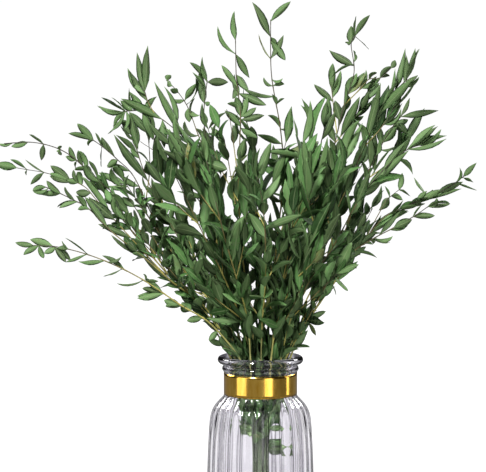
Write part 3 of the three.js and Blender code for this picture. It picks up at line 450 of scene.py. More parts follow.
     "side": [],
     "leaves": []},
    {"lip": (0, -28), "leaf": BROAD, "twigs": 3, "leafy": 1,
     "route": [(2, 226, -46), (5, 264, -76), (5, 304, -106), (2, 344, -126), (-4, 370, -136)],
     "side": [],
     "leaves": []},
    {"lip": (10, -28), "leaf": WILLOW, "twigs": 3, "leafy": 1,
     "route": [(17, 226, -42), (34, 266, -70), (52, 308, -94), (70, 350, -108), (84, 386, -112)],
     "side": [],
     "leaves": []},
    {"lip": (10, -19), "leaf": WILLOW, "twigs": 2, "leafy": 1,
     "route": [(17, 240, -34), (27, 288, -58), (34, 338, -74), (38, 380, -80), (42, 404, -80)],
     "side": [],
     "leaves": []},
    {"lip": (-25, 9.5), "leaf": WILLOW, "twigs": 2, "leafy": 0.86,
     "route": [(-34, 232, 30), (-58, 272, 60), (-84, 314, 80), (-110, 360, 92), (-123, 395, 96),
               (-130, 425, 94)],
     "side": [(0.62, 0.5, (-92, 362, 96), (-101, 390, 96), (-120, 405, 92))],
     "leaves": [(-112, 365, -147, 413, 9), (-118, 377, -141, 398, 2.2), (-130, 425, -148, 420, 4),
                (-123, 395, -129, 429, 6), (-126, 410, -140, 430, 6), (-101, 390, -92, 380, 5),
                (-101, 390, -105, 410, 6)]},
    {"lip": (-20, 19), "leaf": BROAD, "twigs": 2, "leafy": 1,
     "route": [(-26, 232, 40), (-38, 280, 72), (-48, 330, 102), (-54, 372, 120), (-56, 400, 126)],
     "side": [],
     "leaves": []},
    {"lip": (20, 19), "leaf": WILLOW, "twigs": 3, "leafy": 1,
     "route": [(25, 232, 40), (33, 282, 72), (38, 332, 102), (40, 374, 122), (38, 400, 130)],
     "side": [],
     "leaves": []},
    {"lip": (15, 9.5), "leaf": BROAD, "twigs": 3, "leafy": 1,
     "route": [(32, 236, 38), (56, 282, 68), (78, 328, 94), (92, 362, 108), (102, 384, 112)],
     "side": [],
     "leaves": []},
]
print("branches:", len(BRANCHES))

# %% [markdown]
# The outer parts and the front of a bouquet are where the eye checks it leaf by leaf, so the leaves
# there are placed one by one. Where light shows through between the leaves, the grown ones are left
# out again. More of the growth rule's chance could never bring these about.

# %% More single leaves
# The fixed model leaves these out. Each has the places where its foot and its tip look across and up
# and the width it shows, and grows on whatever shoot looks nearest.
MORE_LEAVES = [
    (-148, 328, -180, 372, 6), (-146, 322, -172, 350, 12), (-160, 372, -172, 386, 4),
    (-122, 392, -145, 412, 5), (-121, 398, -128, 428, 4), (-134, 436, -147, 418, 6),
    (-118, 440, -132, 456, 7), (-80, 423, -97, 462, 6), (-60, 460, -68, 474, 4), (-38, 397, -50, 420, 5),
    (-24, 402, -28, 422, 8), (-26, 446, -30, 470, 4), (-12, 455, -26, 472, 3), (0, 448, -18, 458, 5),
    (20, 402, -4, 412, 7), (5, 368, 0, 400, 4), (20, 344, 7, 352, 5), (13, 302, 10, 335, 4),
    (25, 310, 21, 340, 4), (60, 424, 66, 446, 7), (74, 404, 66, 428, 8), (74, 448, 80, 476, 8),
    (68, 455, 72, 482, 6), (80, 416, 90, 450, 5), (88, 452, 104, 474, 6), (102, 418, 120, 462, 6),
    (122, 420, 142, 444, 7), (128, 398, 136, 422, 5), (110, 372, 132, 400, 4), (106, 346, 122, 366, 8),
    (112, 314, 150, 336, 7), (100, 300, 114, 302, 4), (36, 200, 48, 216, 6), (48, 224, 56, 210, 2.5),
    (128, 440, 136, 466, 5), (-98, 250, -124, 248, 7), (-80, 240, -96, 240, 6), (-62, 238, -80, 250, 5),
    (-38, 222, -48, 236, 6), (-38, 200, -52, 206, 6), (-35, 218, -39, 236, 4), (-62, 302, -70, 314, 7),
    (-64, 320, -73, 340, 5), (6, 98, 31, 88, 11), (-18, 128, -22, 108, 2.5), (-16, 158, -20, 137, 8),
    (-8, 160, -9, 138, 9), (2, 160, 4, 137, 9), (12, 158, 15, 138, 8), (20, 156, 22, 140, 6),
    (90, 392, 102, 424, 7), (98, 425, 113, 448, 6), (108, 440, 119, 464, 7), (128, 400, 136, 420, 10),
    (113, 390, 118, 408, 4), (120, 396, 140, 403, 3), (148, 396, 186, 408, 5), (145, 399, 175, 422, 4),
    (82, 440, 84, 462, 5), (84, 460, 96, 473, 4), (88, 452, 105, 473, 4), (105, 446, 120, 462, 5),
    (124, 450, 134, 478, 3), (141, 464, 145, 492, 6), (147, 456, 159, 470, 5), (150, 470, 158, 498, 4),
    (124, 421, 142, 440, 5), (104, 342, 121, 362, 6), (117, 314, 140, 336, 5), (132, 330, 148, 336, 4),
    (132, 315, 150, 326, 4), (168, 346, 202, 358, 6), (150, 338, 165, 343, 3), (168, 340, 190, 343, 3),
    (-206, 298, -195, 284, 6), (-188, 363, -212, 371, 6), (-200, 352, -214, 365, 4),
    (-212, 360, -228, 355, 4), (-184, 343, -203, 338, 4), (-178, 362, -182, 378, 6),
    (-176, 382, -182, 397, 5), (-150, 320, -176, 350, 7), (-143, 386, -153, 379, 7),
    (-150, 396, -159, 409, 4), (-130, 404, -140, 421, 4), (-128, 435, -140, 446, 7),
    (-137, 436, -163, 441, 4), (-122, 450, -133, 479, 5), (-118, 424, -130, 434, 8),
    (-124, 338, -138, 350, 8), (-120, 388, -130, 400, 4),
]

# Leaves at the front of the bouquet's middle, written in the same way, which are given painted light:
# a lighter tone. Each one grows on the foremost shoot that looks near its foot. A millimetre of gap
# past the first few counts as much as some millimetres of depth.
FRONT_LEAVES = [
    (-19, 189, -42, 210, 11), (2, 187, 12, 211, 10), (30, 196, 46, 213, 9), (27, 228, 35, 237, 8),
    (50, 223, 66, 235, 6), (-16, 222, -20, 246, 11), (1, 219, 0, 238, 9), (-42, 238, -48, 270, 13),
    (-24, 222, -54, 228, 8), (-23, 272, -30, 291, 9), (-9, 260, -3, 279, 10), (8, 238, 5, 278, 7),
    (40, 238, 35, 260, 9), (61, 244, 65, 258, 8), (56, 263, 62, 276, 9), (-77, 267, -88, 293, 9),
    (-70, 234, -79, 244, 12), (-32, 299, -15, 332, 12), (-6, 308, -12, 334, 11), (-23, 356, -25, 389, 10),
    (-16, 364, -14, 388, 9), (18, 372, 11, 405, 9), (18, 383, 39, 401, 10), (12, 348, 20, 372, 10),
    (21, 369, 48, 355, 8), (33, 288, 52, 317, 11), (14, 319, 42, 332, 8), (76, 272, 92, 305, 12),
    (11, 282, 10, 310, 8), (-57, 370, -100, 398, 9), (-56, 397, -33, 377, 11),
]
NEAR_ENOUGH = 5.0
DEPTH_PER_GAP = 8.0
FRONT_LIGHT_TONE = 0.22
print("single leaves added:", len(MORE_LEAVES) + len(FRONT_LEAVES))

# %% Gaps and sight lines
# Gaps where light shows through the bouquet: how far across and up the middle looks, and half the
# gap's width and height.
LIGHT_GAPS = [
    (-104, 375, 12, 22), (-92, 352, 8, 10), (-108, 405, 8, 9), (-136, 352, 10, 7), (-134, 320, 8, 6),
    (-125, 303, 14, 9), (-108, 286, 10, 8), (-100, 276, 8, 6), (-35, 374, 8, 6), (-33, 338, 7, 6),
    (-25, 350, 5, 6), (-8, 392, 6, 10), (2, 342, 4, 16), (3, 315, 4, 14), (30, 420, 7, 16),
    (47, 415, 8, 12), (48, 438, 10, 7), (61, 420, 5, 10), (9, 370, 4, 7), (42, 377, 3, 10),
    (33, 345, 3, 14), (82, 330, 7, 9), (70, 300, 8, 10), (64, 290, 8, 6), (90, 388, 6, 6), (98, 368, 7, 7),
    (105, 366, 5, 6), (124, 408, 7, 9), (152, 418, 10, 10), (113, 335, 6, 12), (122, 332, 5, 6),
    (47, 256, 8, 6), (62, 240, 8, 6), (80, 268, 8, 7), (-18, 315, 5, 6), (-22, 345, 5, 5), (-70, 420, 8, 6),
    (-50, 435, 8, 7), (-60, 335, 5, 5), (-66, 215, 8, 8), (62, 232, 10, 4), (40, 203, 6, 3),
    (135, 385, 12, 8), (-146, 372, 10, 5), (-134, 376, 8, 6), (152, 415, 8, 9),
]
print("light gaps:", len(LIGHT_GAPS))


def sight(across, up, depth):
    """The place that looks this far across and up, at its depth along the line of sight."""
    reach = 1 + depth / -EYE[1]
    return EYE + (np.array([across, 0.0, up]) - EYE) * reach


def look(places):
    """How far across and up places look from the camera."""
    reach = 1 + places[..., 1:2] / -EYE[1]
    return (EYE + (places - EYE) / reach)[..., [0, 2]]


# %% Chance and shoots
# Where each source of chance starts. The fixed model uses all but the last four.
SEEDS = {"twigs": 1, "stem leaves": 100, "twig leaves": 200, "chosen leaves": 600, "low leaf": 900,
         "loose leaves": 700, "more leaves": 1000, "front leaves": 2000, "blades": 500}
TWIG_SEEDS_EACH = 10
STEM_RADII = (1.2, 0.4)
TWIG_RADII = (0.6, 0.3)
UP = np.array([0.0, 0.0, 1.0])
INTO_PICTURE = np.array([0.0, 1.0, 0.0])
FINE_STEPS = 12
NEAREST_STATIONS = 301
FACTOR = 16807
PRIME = 2147483647
SEED_STEP = 7919
SEED_START = 13
FIRST_STATES_DROPPED = 3


class Chance:
    """A repeatable source of numbers: each state is the last one times a factor, modulo a prime."""

    def __init__(self, seed):
        self.state = seed * SEED_STEP + SEED_START
        for _ in range(FIRST_STATES_DROPPED):
            self.next()

    def next(self):
        """The next number from 0 to 1."""
        self.state = self.state * FACTOR % PRIME
        return self.state / PRIME

    def spread(self, half):
        """The next number from minus a half width to plus that half width."""
        return (2 * self.next() - 1) * half


def smooth_line(points, steps):
    """A smooth line through points. Each span is a cubic that leaves a point along the chord between
    that point's two neighbours, and the line is carried straight on past both of its ends."""
    points = np.asarray(points, float)
    line = np.vstack([2 * points[0] - points[1], points, 2 * points[-1] - points[-2]])
    before, start, end, after = line[:-3, None], line[1:-2, None], line[2:-1, None], line[3:, None]
    leaving = (end - before) / 2
    arriving = (after - start) / 2
    t = (np.arange(steps) / steps)[None, :, None]
    spans = (start * (2 * t**3 - 3 * t**2 + 1) + end * (3 * t**2 - 2 * t**3)
             + leaving * (t**3 - 2 * t**2 + t) + arriving * (t**3 - t**2))
    return np.vstack([spans.reshape(-1, 3), points[-1:]])


class Shoot:
    """A stem or twig: the coarse line that leaves are measured along, and a fine one to look at."""

    def __init__(self, points, radii):
        self.line = smooth_line(points, 2)
        self.fine = smooth_line(points, FINE_STEPS)
        self.radii = radii
        self.along = np.concatenate([[0], np.cumsum(np.linalg.norm(np.diff(self.line, axis=0), axis=1))])
        self.length = self.along[-1]
        self.nodes = []

    def at(self, distance):
        """The coarse point, the fine point and the direction at a distance from the foot."""
        i = min(int(np.searchsorted(self.along, distance, side="right")) - 1, len(self.line) - 2)
        share = (distance - self.along[i]) / (self.along[i + 1] - self.along[i])
        chord = self.line[i + 1] - self.line[i]
        place = (i + share) * FINE_STEPS / 2
        k = min(int(place), len(self.fine) - 2)
        fine = self.fine[k] + (self.fine[k + 1] - self.fine[k]) * (place - k)
        return self.line[i] + chord * share, fine, unit(chord)

    def nearest(self, seen):
        """How near the shoot looks to a place across and up, and at what distance from its foot."""
        stations = np.linspace(0, self.length, NEAREST_STATIONS)
        places = np.column_stack([np.interp(stations, self.along, self.line[:, k]) for k in range(3)])
        gaps = np.linalg.norm(look(places) - seen, axis=1)
        best = int(np.argmin(gaps))
        return gaps[best], stations[best]


def lean_from(direction, angle, turn):
    """A direction that leans away from a shoot's own by an angle, turned round it by a turn."""
    side = unit(np.cross(direction, INTO_PICTURE))
    other = np.cross(side, direction)
    outward = side * math.cos(turn) + other * math.sin(turn)
    return direction * math.cos(angle) + outward * math.sin(angle)


# %% Leaves in opposite pairs
LEAFY_FROM = 184.0
BARE_TWIG = 14.0
TIP_SEAT = 2.0
# The fixed model carries this pair out of every five.
MODELLED_EVERY = 5
MODELLED_PAIR = 1
# Pairs crowd a little towards the foot, open less towards the tip, and are a little lifted.
CROWDING = 0.85
OPENING_AT_FOOT = 1.1
OPENING_LOSS = 0.35
OPENING_WANDER = 9
TIP_OPENING = 6.0
PAIR_WANDER = 0.5
TURN_WANDER = 0.25
LIFT = 0.16
LIFT_WANDER = 0.14
BLADE_WANDER = 0.9
SIZE_AT_FOOT = 1.05
SIZE_WANDER = 0.25
FIXED_WIDTH_SHARE = 0.3
# How far the leaves that the fixed model doesn't carry wander, how many of them hang loose and by
# how many times more, and how their size varies.
WANDER = 0.25
LOOSE_SHARE = 0.2
LOOSE = 2.2
LOOSE_SIZES = (0.75, 1.2)
# The places along a leaf that may not look into a light gap.
GAP_PLACES = (0.35, 0.6, 0.85)


def is_in_a_gap(foot, along, length):
    """True for a leaf of which some place between its foot and its tip looks into a gap."""
    places = look(foot + along * length * np.array(GAP_PLACES)[:, None])
    gaps = np.array(LIGHT_GAPS, float)
    away = (places[:, None] - gaps[None, :, :2]) / gaps[None, :, 2:]
    return bool((np.linalg.norm(away, axis=-1) < 1).any())


def leaves_of(shoot, first, leafy, kind, chance, loose):
    """The foot, direction, blade direction, length, width, fullness and tone of each leaf on a shoot,
    up to a share of its length. A shoot that is leafy to its end has one more leaf at its tip. The
    fixed model has every fifth pair and the tip leaf, so only the others may wander. A few of them
    hang loose, and those that look into a light gap are left out."""
    leaves = []
    last = shoot.length * leafy - TIP_SEAT
    if last < first + kind["spacing"]:
        return leaves
    pairs = max(1, math.floor((last - first) / kind["spacing"] + 0.5))
    for pair in range(pairs + 1 if leafy == 1 else pairs):
        share = pair / pairs
        distance = first + (last - first) * share**CROWDING
        _, foot, direction = shoot.at(distance)
        shoot.nodes.append(distance)
        start = pair * math.pi / 2 + chance.spread(PAIR_WANDER)
        for side in range(1 if pair == pairs else 2):
            opening = TIP_OPENING
            if pair < pairs:
                opening = kind["angle"] * (OPENING_AT_FOOT - OPENING_LOSS * share)
                opening += chance.spread(OPENING_WANDER)
            turn = start + side * math.pi + chance.spread(TURN_WANDER)
            lean = lean_from(direction, math.radians(opening), turn)
            along = unit(lean + UP * (LIFT + chance.spread(LIFT_WANDER)))
            blade = lean_from(direction, math.pi / 2, turn + math.pi / 2 + chance.spread(BLADE_WANDER))
            size = (SIZE_AT_FOOT - kind["shrink"] * share) * (1 + chance.spread(SIZE_WANDER))
            if pair % MODELLED_EVERY != MODELLED_PAIR and pair < pairs:
                stray = loose.normal(0, WANDER, 3)
                along = unit(along + stray * (LOOSE if loose.random() < LOOSE_SHARE else 1))
                size *= loose.uniform(*LOOSE_SIZES)
                if is_in_a_gap(foot, along, kind["length"] * size):
                    continue
            blade = unit(blade - along * (blade @ along))
            width = kind["width"] * (FIXED_WIDTH_SHARE + (1 - FIXED_WIDTH_SHARE) * size)
            leaves.append((foot, along, blade, kind["length"] * size, width, kind["full"], 0.0))
    return leaves


# %% Leaves that were chosen one by one
DEPTH_WANDER = 0.35
NARROWEST_SHARE = 0.75
CHOSEN_TURN_WANDER = 0.15
# A leaf that shows less than half of its width is seen nearly edge on, and is given painted shade: a darker
# tone.
EDGE_ON_SHARE = 0.5
EDGE_ON_SHADE_TONE = -0.22


def chosen_leaves_of(shoots, chosen, kind, chance):
    """The leaves that were chosen one by one. Each grows from where the branch looks nearest to the
    leaf's foot. One that shows less width than its kind has is turned away by as much as that takes."""
    leaves = []
    for foot_across, foot_up, tip_across, tip_up, shown in chosen:
        near = [shoot.nearest((foot_across, foot_up)) for shoot in shoots]
        shoot, (_, distance) = min(zip(shoots, near), key=lambda pair: pair[1][0])
        distance = min(distance, shoot.length - TIP_SEAT)
        shoot.nodes.append(distance)
        _, foot, _ = shoot.at(distance)
        seen_length = math.hypot(tip_across - foot_across, tip_up - foot_up)
        reach = sight(tip_across, tip_up, foot[1] + chance.spread(DEPTH_WANDER) * seen_length) - foot
        length = np.linalg.norm(reach)
        along = reach / length
        width = max(shown, NARROWEST_SHARE * kind["width"])
        side = 1 if chance.next() < 0.5 else -1
        turn = math.acos(shown / width) * side + chance.spread(CHOSEN_TURN_WANDER)
        flat = unit(np.cross(along, INTO_PICTURE))
        blade = flat * math.cos(turn) + np.cross(along, flat) * math.sin(turn)
        # Painted shade: a leaf seen nearly edge on gets a darker tone.
        tone = EDGE_ON_SHADE_TONE * (shown < EDGE_ON_SHARE * width)
        leaves.append((foot, along, blade, length, width, kind["full"], tone))
    return leaves


# %% Leaves inside the vase
NECK_LEAVES_FROM = 104.0
NECK_SPACING = 13.0
NECK_OPENINGS = (8, 30)
NECK_LENGTHS = (20, 30)
# The leaves inside the neck get painted shade: a darker tone.
NECK_SHADE_TONE = -0.3
LOW_LEAF_FROM = 82
LOW_LEAF_REACH = 60
LOW_LEAF_TURN_WANDER = 0.4
LOW_LEAF_OPENING, LOW_LEAF_OPENING_WANDER = 32, 14
LOW_LEAF_LENGTH, LOW_LEAF_LENGTH_WANDER = 20, 4
LOW_LEAF_WIDTH = 8.5


def neck_leaves_of(stem, kind, loose):
    """Small upright leaves on the part of a stem that is inside the vase's neck, which the fixed
    model leaves out. Their darker tone is painted shade."""
    leaves = []
    for distance in np.arange(NECK_LEAVES_FROM + loose.uniform(0, NECK_SPACING), LEAFY_FROM, NECK_SPACING):
        _, foot, direction = stem.at(distance)
        turn = loose.uniform(0, 2 * math.pi)
        for side in range(2):
            opening = math.radians(loose.uniform(*NECK_OPENINGS))
            along = lean_from(direction, opening, turn + side * math.pi)
            blade_turn = turn + math.pi / 2 + loose.uniform(-BLADE_WANDER, BLADE_WANDER)
            blade = lean_from(direction, math.pi / 2, blade_turn)
            blade = unit(blade - along * (blade @ along))
            length = loose.uniform(*NECK_LENGTHS)
            leaves.append((foot, along, blade, length, kind["width"], kind["full"], NECK_SHADE_TONE))
        stem.nodes.append(distance)
    return leaves


def low_leaf_of(stem, lip, chance):
    """One leaf of an outer stem's bare part, inside the vase, which points out of the bundle."""
    _, foot, direction = stem.at(LOW_LEAF_FROM + LOW_LEAF_REACH * chance.next())
    turn = math.atan2(lip[1], -lip[0]) + chance.spread(LOW_LEAF_TURN_WANDER)
    opening = math.radians(LOW_LEAF_OPENING + chance.spread(LOW_LEAF_OPENING_WANDER))
    along = lean_from(direction, opening, turn)
    blade = lean_from(direction, math.pi / 2, turn + math.pi / 2)
    length = LOW_LEAF_LENGTH + chance.spread(LOW_LEAF_LENGTH_WANDER)
    return foot, along, blade, length, LOW_LEAF_WIDTH, BROAD["full"], 0.0


# %% Stems and side twigs
TWIGS_FROM = 0.46
TWIGS_TO = 0.92
TWIG_PLACE_WANDER = 0.03
TWIG_LENGTH = 78
TWIG_LENGTH_AT_FOOT = 1.25
TWIG_LENGTH_LOSS = 0.5
TWIG_LENGTH_WANDER = 0.2
TWIG_ANGLE, TWIG_ANGLE_WANDER = 36, 8
TWIG_TURN_WANDER = 0.9
TWIG_LIFT = 0.3
TWIG_TRIES = 6
GOLDEN_ANGLE = math.radians(137.5)
# How near a tip has to come to a corner of the fixed model, in millimetres.
FOUND_WITHIN = 0.46
DEPTH_TRIES = (0, 6, -6, 12, -12, 18)


def stem_of(lip, route):
    """A stem from the vase's floor through its neck, and then along its route."""
    x, y = lip
    points = [(x * FOOT_SPREAD, y * FOOT_SPREAD, FOOT_HEIGHT), (x * TIE_SPREAD, y * TIE_SPREAD, TIE_HEIGHT),
              (x * MOUTH_SPREAD, y * MOUTH_SPREAD, MOUTH_HEIGHT), (x, y, LIP_HEIGHT)]
    return Shoot(points + [sight(*point) for point in route], STEM_RADII)


def twigs_of(stem, count, chance, corners):
    """Side twigs, one after another up the stem, each in two straight halves of which the second
    bends back towards the stem's direction. The fixed model turned a twig on until it grew clear of
    its neighbours, so the turn to take is the one whose tip is a corner of that model."""
    twigs = []
    for i in range(count):
        share = TWIGS_FROM + (TWIGS_TO - TWIGS_FROM) * (i + 0.5) / count
        share += chance.spread(TWIG_PLACE_WANDER)
        point, _, direction = stem.at(stem.length * share)
        length = TWIG_LENGTH * (TWIG_LENGTH_AT_FOOT - TWIG_LENGTH_LOSS * share)
        length *= 1 + chance.spread(TWIG_LENGTH_WANDER)
        angle = math.radians(TWIG_ANGLE + chance.spread(TWIG_ANGLE_WANDER))
        first_turn = i * math.pi + chance.spread(TWIG_TURN_WANDER)
        for attempt in range(TWIG_TRIES):
            lean = unit(lean_from(direction, angle, first_turn + attempt * GOLDEN_ANGLE) + UP * TWIG_LIFT)
            bend = unit(lean * 0.7 + direction * 0.3 + UP * 0.1)
            points = [point, point + lean * length / 2, point + lean * length / 2 + bend * length / 2]
            if np.linalg.norm(corners - points[-1], axis=1).min() < FOUND_WITHIN:
                twigs.append((i, 1, Shoot(points, TWIG_RADII)))
                break
    return twigs


def side_twigs_of(stem, side, first_number, corners):
    """The chosen side twigs. Each may lie a little deeper or nearer than chosen, where the fixed
    model moved it clear of its neighbours."""
    twigs = []
    for number, (share, leafy, *route) in enumerate(side, first_number):
        point, _, _ = stem.at(stem.length * share)
        for shift in DEPTH_TRIES:
            places = [sight(x, z, depth + shift * (k + 1) / len(route))
                      for k, (x, z, depth) in enumerate(route)]
            if np.linalg.norm(corners - places[-1], axis=1).min() < FOUND_WITHIN:
                twigs.append((number, leafy, Shoot([point, *places], TWIG_RADII)))
                break
    return twigs


def corners_of(node):
    """The corners of a piece of the fixed model, in millimetres."""
    places = np.zeros(len(node.data.vertices) * 3, np.float32)
    node.data.vertices.foreach_get("co", places)
    return places.reshape(-1, 3) / MM


# %% Grow every branch
LOW_LEAF_OUTSIDE = 14

bouquet = []
for i, branch in enumerate(BRANCHES):
    name = f"branch_{i + 1:02d}"
    lip, kind = branch["lip"], branch["leaf"]
    corners = corners_of(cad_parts[name])
    stem = stem_of(lip, branch["route"])
    twigs = twigs_of(stem, branch["twigs"], Chance(SEEDS["twigs"] + i), corners)
    twigs += side_twigs_of(stem, branch["side"], branch["twigs"], corners)
    loose = np.random.default_rng(SEEDS["loose leaves"] + i)
    leaves = leaves_of(stem, LEAFY_FROM, branch["leafy"], kind, Chance(SEEDS["stem leaves"] + i), loose)
    for number, leafy, twig in twigs:
        chance = Chance(SEEDS["twig leaves"] + TWIG_SEEDS_EACH * i + number)
        leaves += leaves_of(twig, BARE_TWIG, leafy, kind, chance, loose)
    leaves += neck_leaves_of(stem, kind, loose)
    shoots = [stem] + [twig for _, _, twig in twigs]
    leaves += chosen_leaves_of(shoots, branch["leaves"], kind, Chance(SEEDS["chosen leaves"] + i))
    if math.hypot(*lip) > LOW_LEAF_OUTSIDE and lip[1] <= 0:
        leaves.append(low_leaf_of(stem, lip, Chance(SEEDS["low leaf"] + i)))
    bouquet.append((name, shoots, leaves))
    wanted = branch["twigs"] + len(branch["side"])
    print(name, "twigs:", len(twigs), "of", wanted, "leaves:", len(leaves))

# %% Grow the single leaves
for k, leaf in enumerate(MORE_LEAVES):
    gaps = [min(shoot.nearest(leaf[:2])[0] for shoot in shoots) for _, shoots, _ in bouquet]
    i = int(np.argmin(gaps))
    chance = Chance(SEEDS["more leaves"] + k)
    bouquet[i][2].extend(chosen_leaves_of(bouquet[i][1], [leaf], BRANCHES[i]["leaf"], chance))
for k, leaf in enumerate(FRONT_LEAVES):
    found = []
    for i, (_, shoots, _) in enumerate(bouquet):
        for shoot in shoots:
            gap, distance = shoot.nearest(leaf[:2])
            depth = shoot.at(distance)[1][1]
            found.append((max(gap, NEAR_ENOUGH) * DEPTH_PER_GAP + depth, i, shoot))
    _, i, shoot = min(found, key=lambda choice: choice[0])
    chance = Chance(SEEDS["front leaves"] + k)
    (grown,) = chosen_leaves_of([shoot], [leaf], BRANCHES[i]["leaf"], chance)
    # Painted light: a front leaf gets a lighter tone.
    bouquet[i][2].append((*grown[:6], FRONT_LIGHT_TONE))
print("leaves in all:", sum(len(leaves) for _, _, leaves in bouquet))

# %% [markdown]
# ## The look of a leaf
# A dried willow eucalyptus leaf is matt, deep grey-green and paler below, with a pale midrib and
# faint slanted veins. Colour could come from a painted picture, but each leaf carries its own tone
# and its own measure along and across the blade, so a few nodes draw ribs that follow every leaf.

# %% Helpers for materials


def ramp(tree, factor, stops):
    """A colour picked from stops by a factor from 0 to 1."""
    node = add_node(tree, "ShaderNodeValToRGB", {"Fac": factor})
    elements = node.color_ramp.elements
    while len(elements) < len(stops):
        elements.new(0.5)
    for element, (place, colour) in zip(elements, stops):
        element.position = place
        element.color = (*colour, 1)
    return node.outputs["Color"]


def mix_colour(tree, factor, first, second):
    """Two colours mixed by a factor."""
    node = add_node(tree, "ShaderNodeMix", {"Factor": factor}, data_type="RGBA")
    for socket, value in ((node.inputs[6], first), (node.inputs[7], second)):
        if isinstance(value, bpy.types.NodeSocket):
            tree.links.new(value, socket)
        else:
            socket.default_value = (*value, 1)
    return node.outputs[2]


def attribute(tree, name):
    """A number that a piece carries on its points or faces."""
    return add_node(tree, "ShaderNodeAttribute", attribute_name=name).outputs["Fac"]


def rise(tree, value, start, end):
    """Zero where a value is at the start, one where it is at the end, and straight between them."""
    node = add_node(tree, "ShaderNodeMapRange", {"Value": value, "From Min": start, "From Max": end})
    return node.outputs[0]


def times(tree, first, second):
    """One value times another."""
    return math_node(tree, "MULTIPLY", first, second)


def band(tree, value, centre, half, soft):
    """One where a value is within a half width of a centre, falling to zero over a soft edge."""
    away = math_node(tree, "ABSOLUTE", math_node(tree, "SUBTRACT", value, centre))
    return rise(tree, away, half + soft, half)


def new_material(name):
    """A material with its tree and its one shader."""
    material = bpy.data.materials.new(name)
    material.use_nodes = True
    return material, material.node_tree, material.node_tree.nodes["Principled BSDF"]


# %% Leaf material
GREENS = [(0.0, (0.006, 0.022, 0.004)), (0.3, (0.030, 0.082, 0.019)), (0.6, (0.074, 0.172, 0.048)),
          (0.88, (0.134, 0.258, 0.090)), (1.0, (0.150, 0.150, 0.040))]
UNDERSIDE_GREEN = (0.105, 0.155, 0.065)
UNDERSIDE_SHARE = 0.5
LINE_GREEN = (0.160, 0.220, 0.100)
LINE_SHARE = 0.72
MARGIN_GREEN = (0.014, 0.030, 0.010)
MARGIN_SHARE = 0.75
MARGIN_FROM = 0.36
MOTTLE_SCALE = 160
MOTTLE_SHARE = 0.4
RIB_HALF = 0.02
RIB_SOFT = 0.035
VEINS_ALONG = 90
VEINS_SLANT = 70
VEIN_SHARPNESS = 6
VEIN_SHARE = 0.28


def make_leaf_material():
    """Matt green that follows each leaf's own tone, paler below, with a pale midrib, faint slanted
    veins and a dark margin. The veins are a sine of how far along the leaf a place is, less how far it
    lies from the rib, raised to a power that makes them narrow."""
    material, tree, shader = new_material("eucalyptus leaf")
    place = add_node(tree, "ShaderNodeTexCoord").outputs["Object"]
    measure = add_node(tree, "ShaderNodeUVMap", uv_map="leaf").outputs[0]
    along_across = add_node(tree, "ShaderNodeSeparateXYZ", {0: measure})
    along, across = along_across.outputs[0], along_across.outputs[1]
    noise = {"Vector": place, "Scale": MOTTLE_SCALE, "Detail": 5}
    mottle = add_node(tree, "ShaderNodeTexNoise", noise).outputs[0]
    tone = attribute(tree, "leaf_tone")
    shade = math_node(tree, "MULTIPLY_ADD", math_node(tree, "SUBTRACT", mottle, 0.5), MOTTLE_SHARE, tone)
    green = ramp(tree, shade, GREENS)
    under = attribute(tree, "underside")
    green = mix_colour(tree, times(tree, under, UNDERSIDE_SHARE), green, UNDERSIDE_GREEN)
    aside = math_node(tree, "ABSOLUTE", math_node(tree, "SUBTRACT", across, 0.5))
    rib = band(tree, across, 0.5, RIB_HALF, RIB_SOFT)
    slant = math_node(tree, "SUBTRACT", times(tree, along, VEINS_ALONG), times(tree, aside, VEINS_SLANT))
    swing = math_node(tree, "MULTIPLY_ADD", math_node(tree, "SINE", slant), 0.5, 0.5)
    vein = math_node(tree, "POWER", swing, VEIN_SHARPNESS)
    lines = math_node(tree, "MAXIMUM", rib, times(tree, vein, VEIN_SHARE))
    green = mix_colour(tree, times(tree, lines, LINE_SHARE), green, LINE_GREEN)
    margin = rise(tree, aside, MARGIN_FROM, 0.5)
    green = mix_colour(tree, times(tree, margin, MARGIN_SHARE), green, MARGIN_GREEN)
    height = math_node(tree, "ADD", times(tree, lines, 0.5), times(tree, mottle, 0.6))
    bump = add_node(tree, "ShaderNodeBump", {"Height": height, "Strength": 0.35, "Distance": 0.0004})
    tree.links.new(green, shader.inputs["Base Color"])
    tree.links.new(bump.outputs[0], shader.inputs["Normal"])
    tree.links.new(math_node(tree, "MULTIPLY_ADD", mottle, 0.25, 0.42), shader.inputs["Roughness"])
    shader.inputs["Specular IOR Level"].default_value = 0.14
    return material


leaf_green = make_leaf_material()
print("leaf nodes:", len(leaf_green.node_tree.nodes))

# %% [markdown]
# ## The look of the stems
# The stems are dark grey-green inside the vase, where painted shade darkens them, golden olive where
# they leave it and dark brown towards their tips. A painted picture could give that, but each stem and
# twig carries a number for it instead, which a ramp turns into colour, and fine noise stretched along it
# gives the bark its streaks.

# %% Bark material
# The two lowest stops are the stems inside the vase, their grey-green darkened with painted shade.
BARKS = [(0.0, (0.036, 0.050, 0.027)), (0.28, (0.048, 0.066, 0.032)), (0.42, (0.270, 0.270, 0.095)),
         (0.55, (0.360, 0.325, 0.080)), (0.7, (0.165, 0.140, 0.045)), (0.86, (0.055, 0.048, 0.028)),
         (1.0, (0.030, 0.027, 0.018))]
STREAK_SCALE = (60, 6, 1)
STREAK_SHARE = 0.3


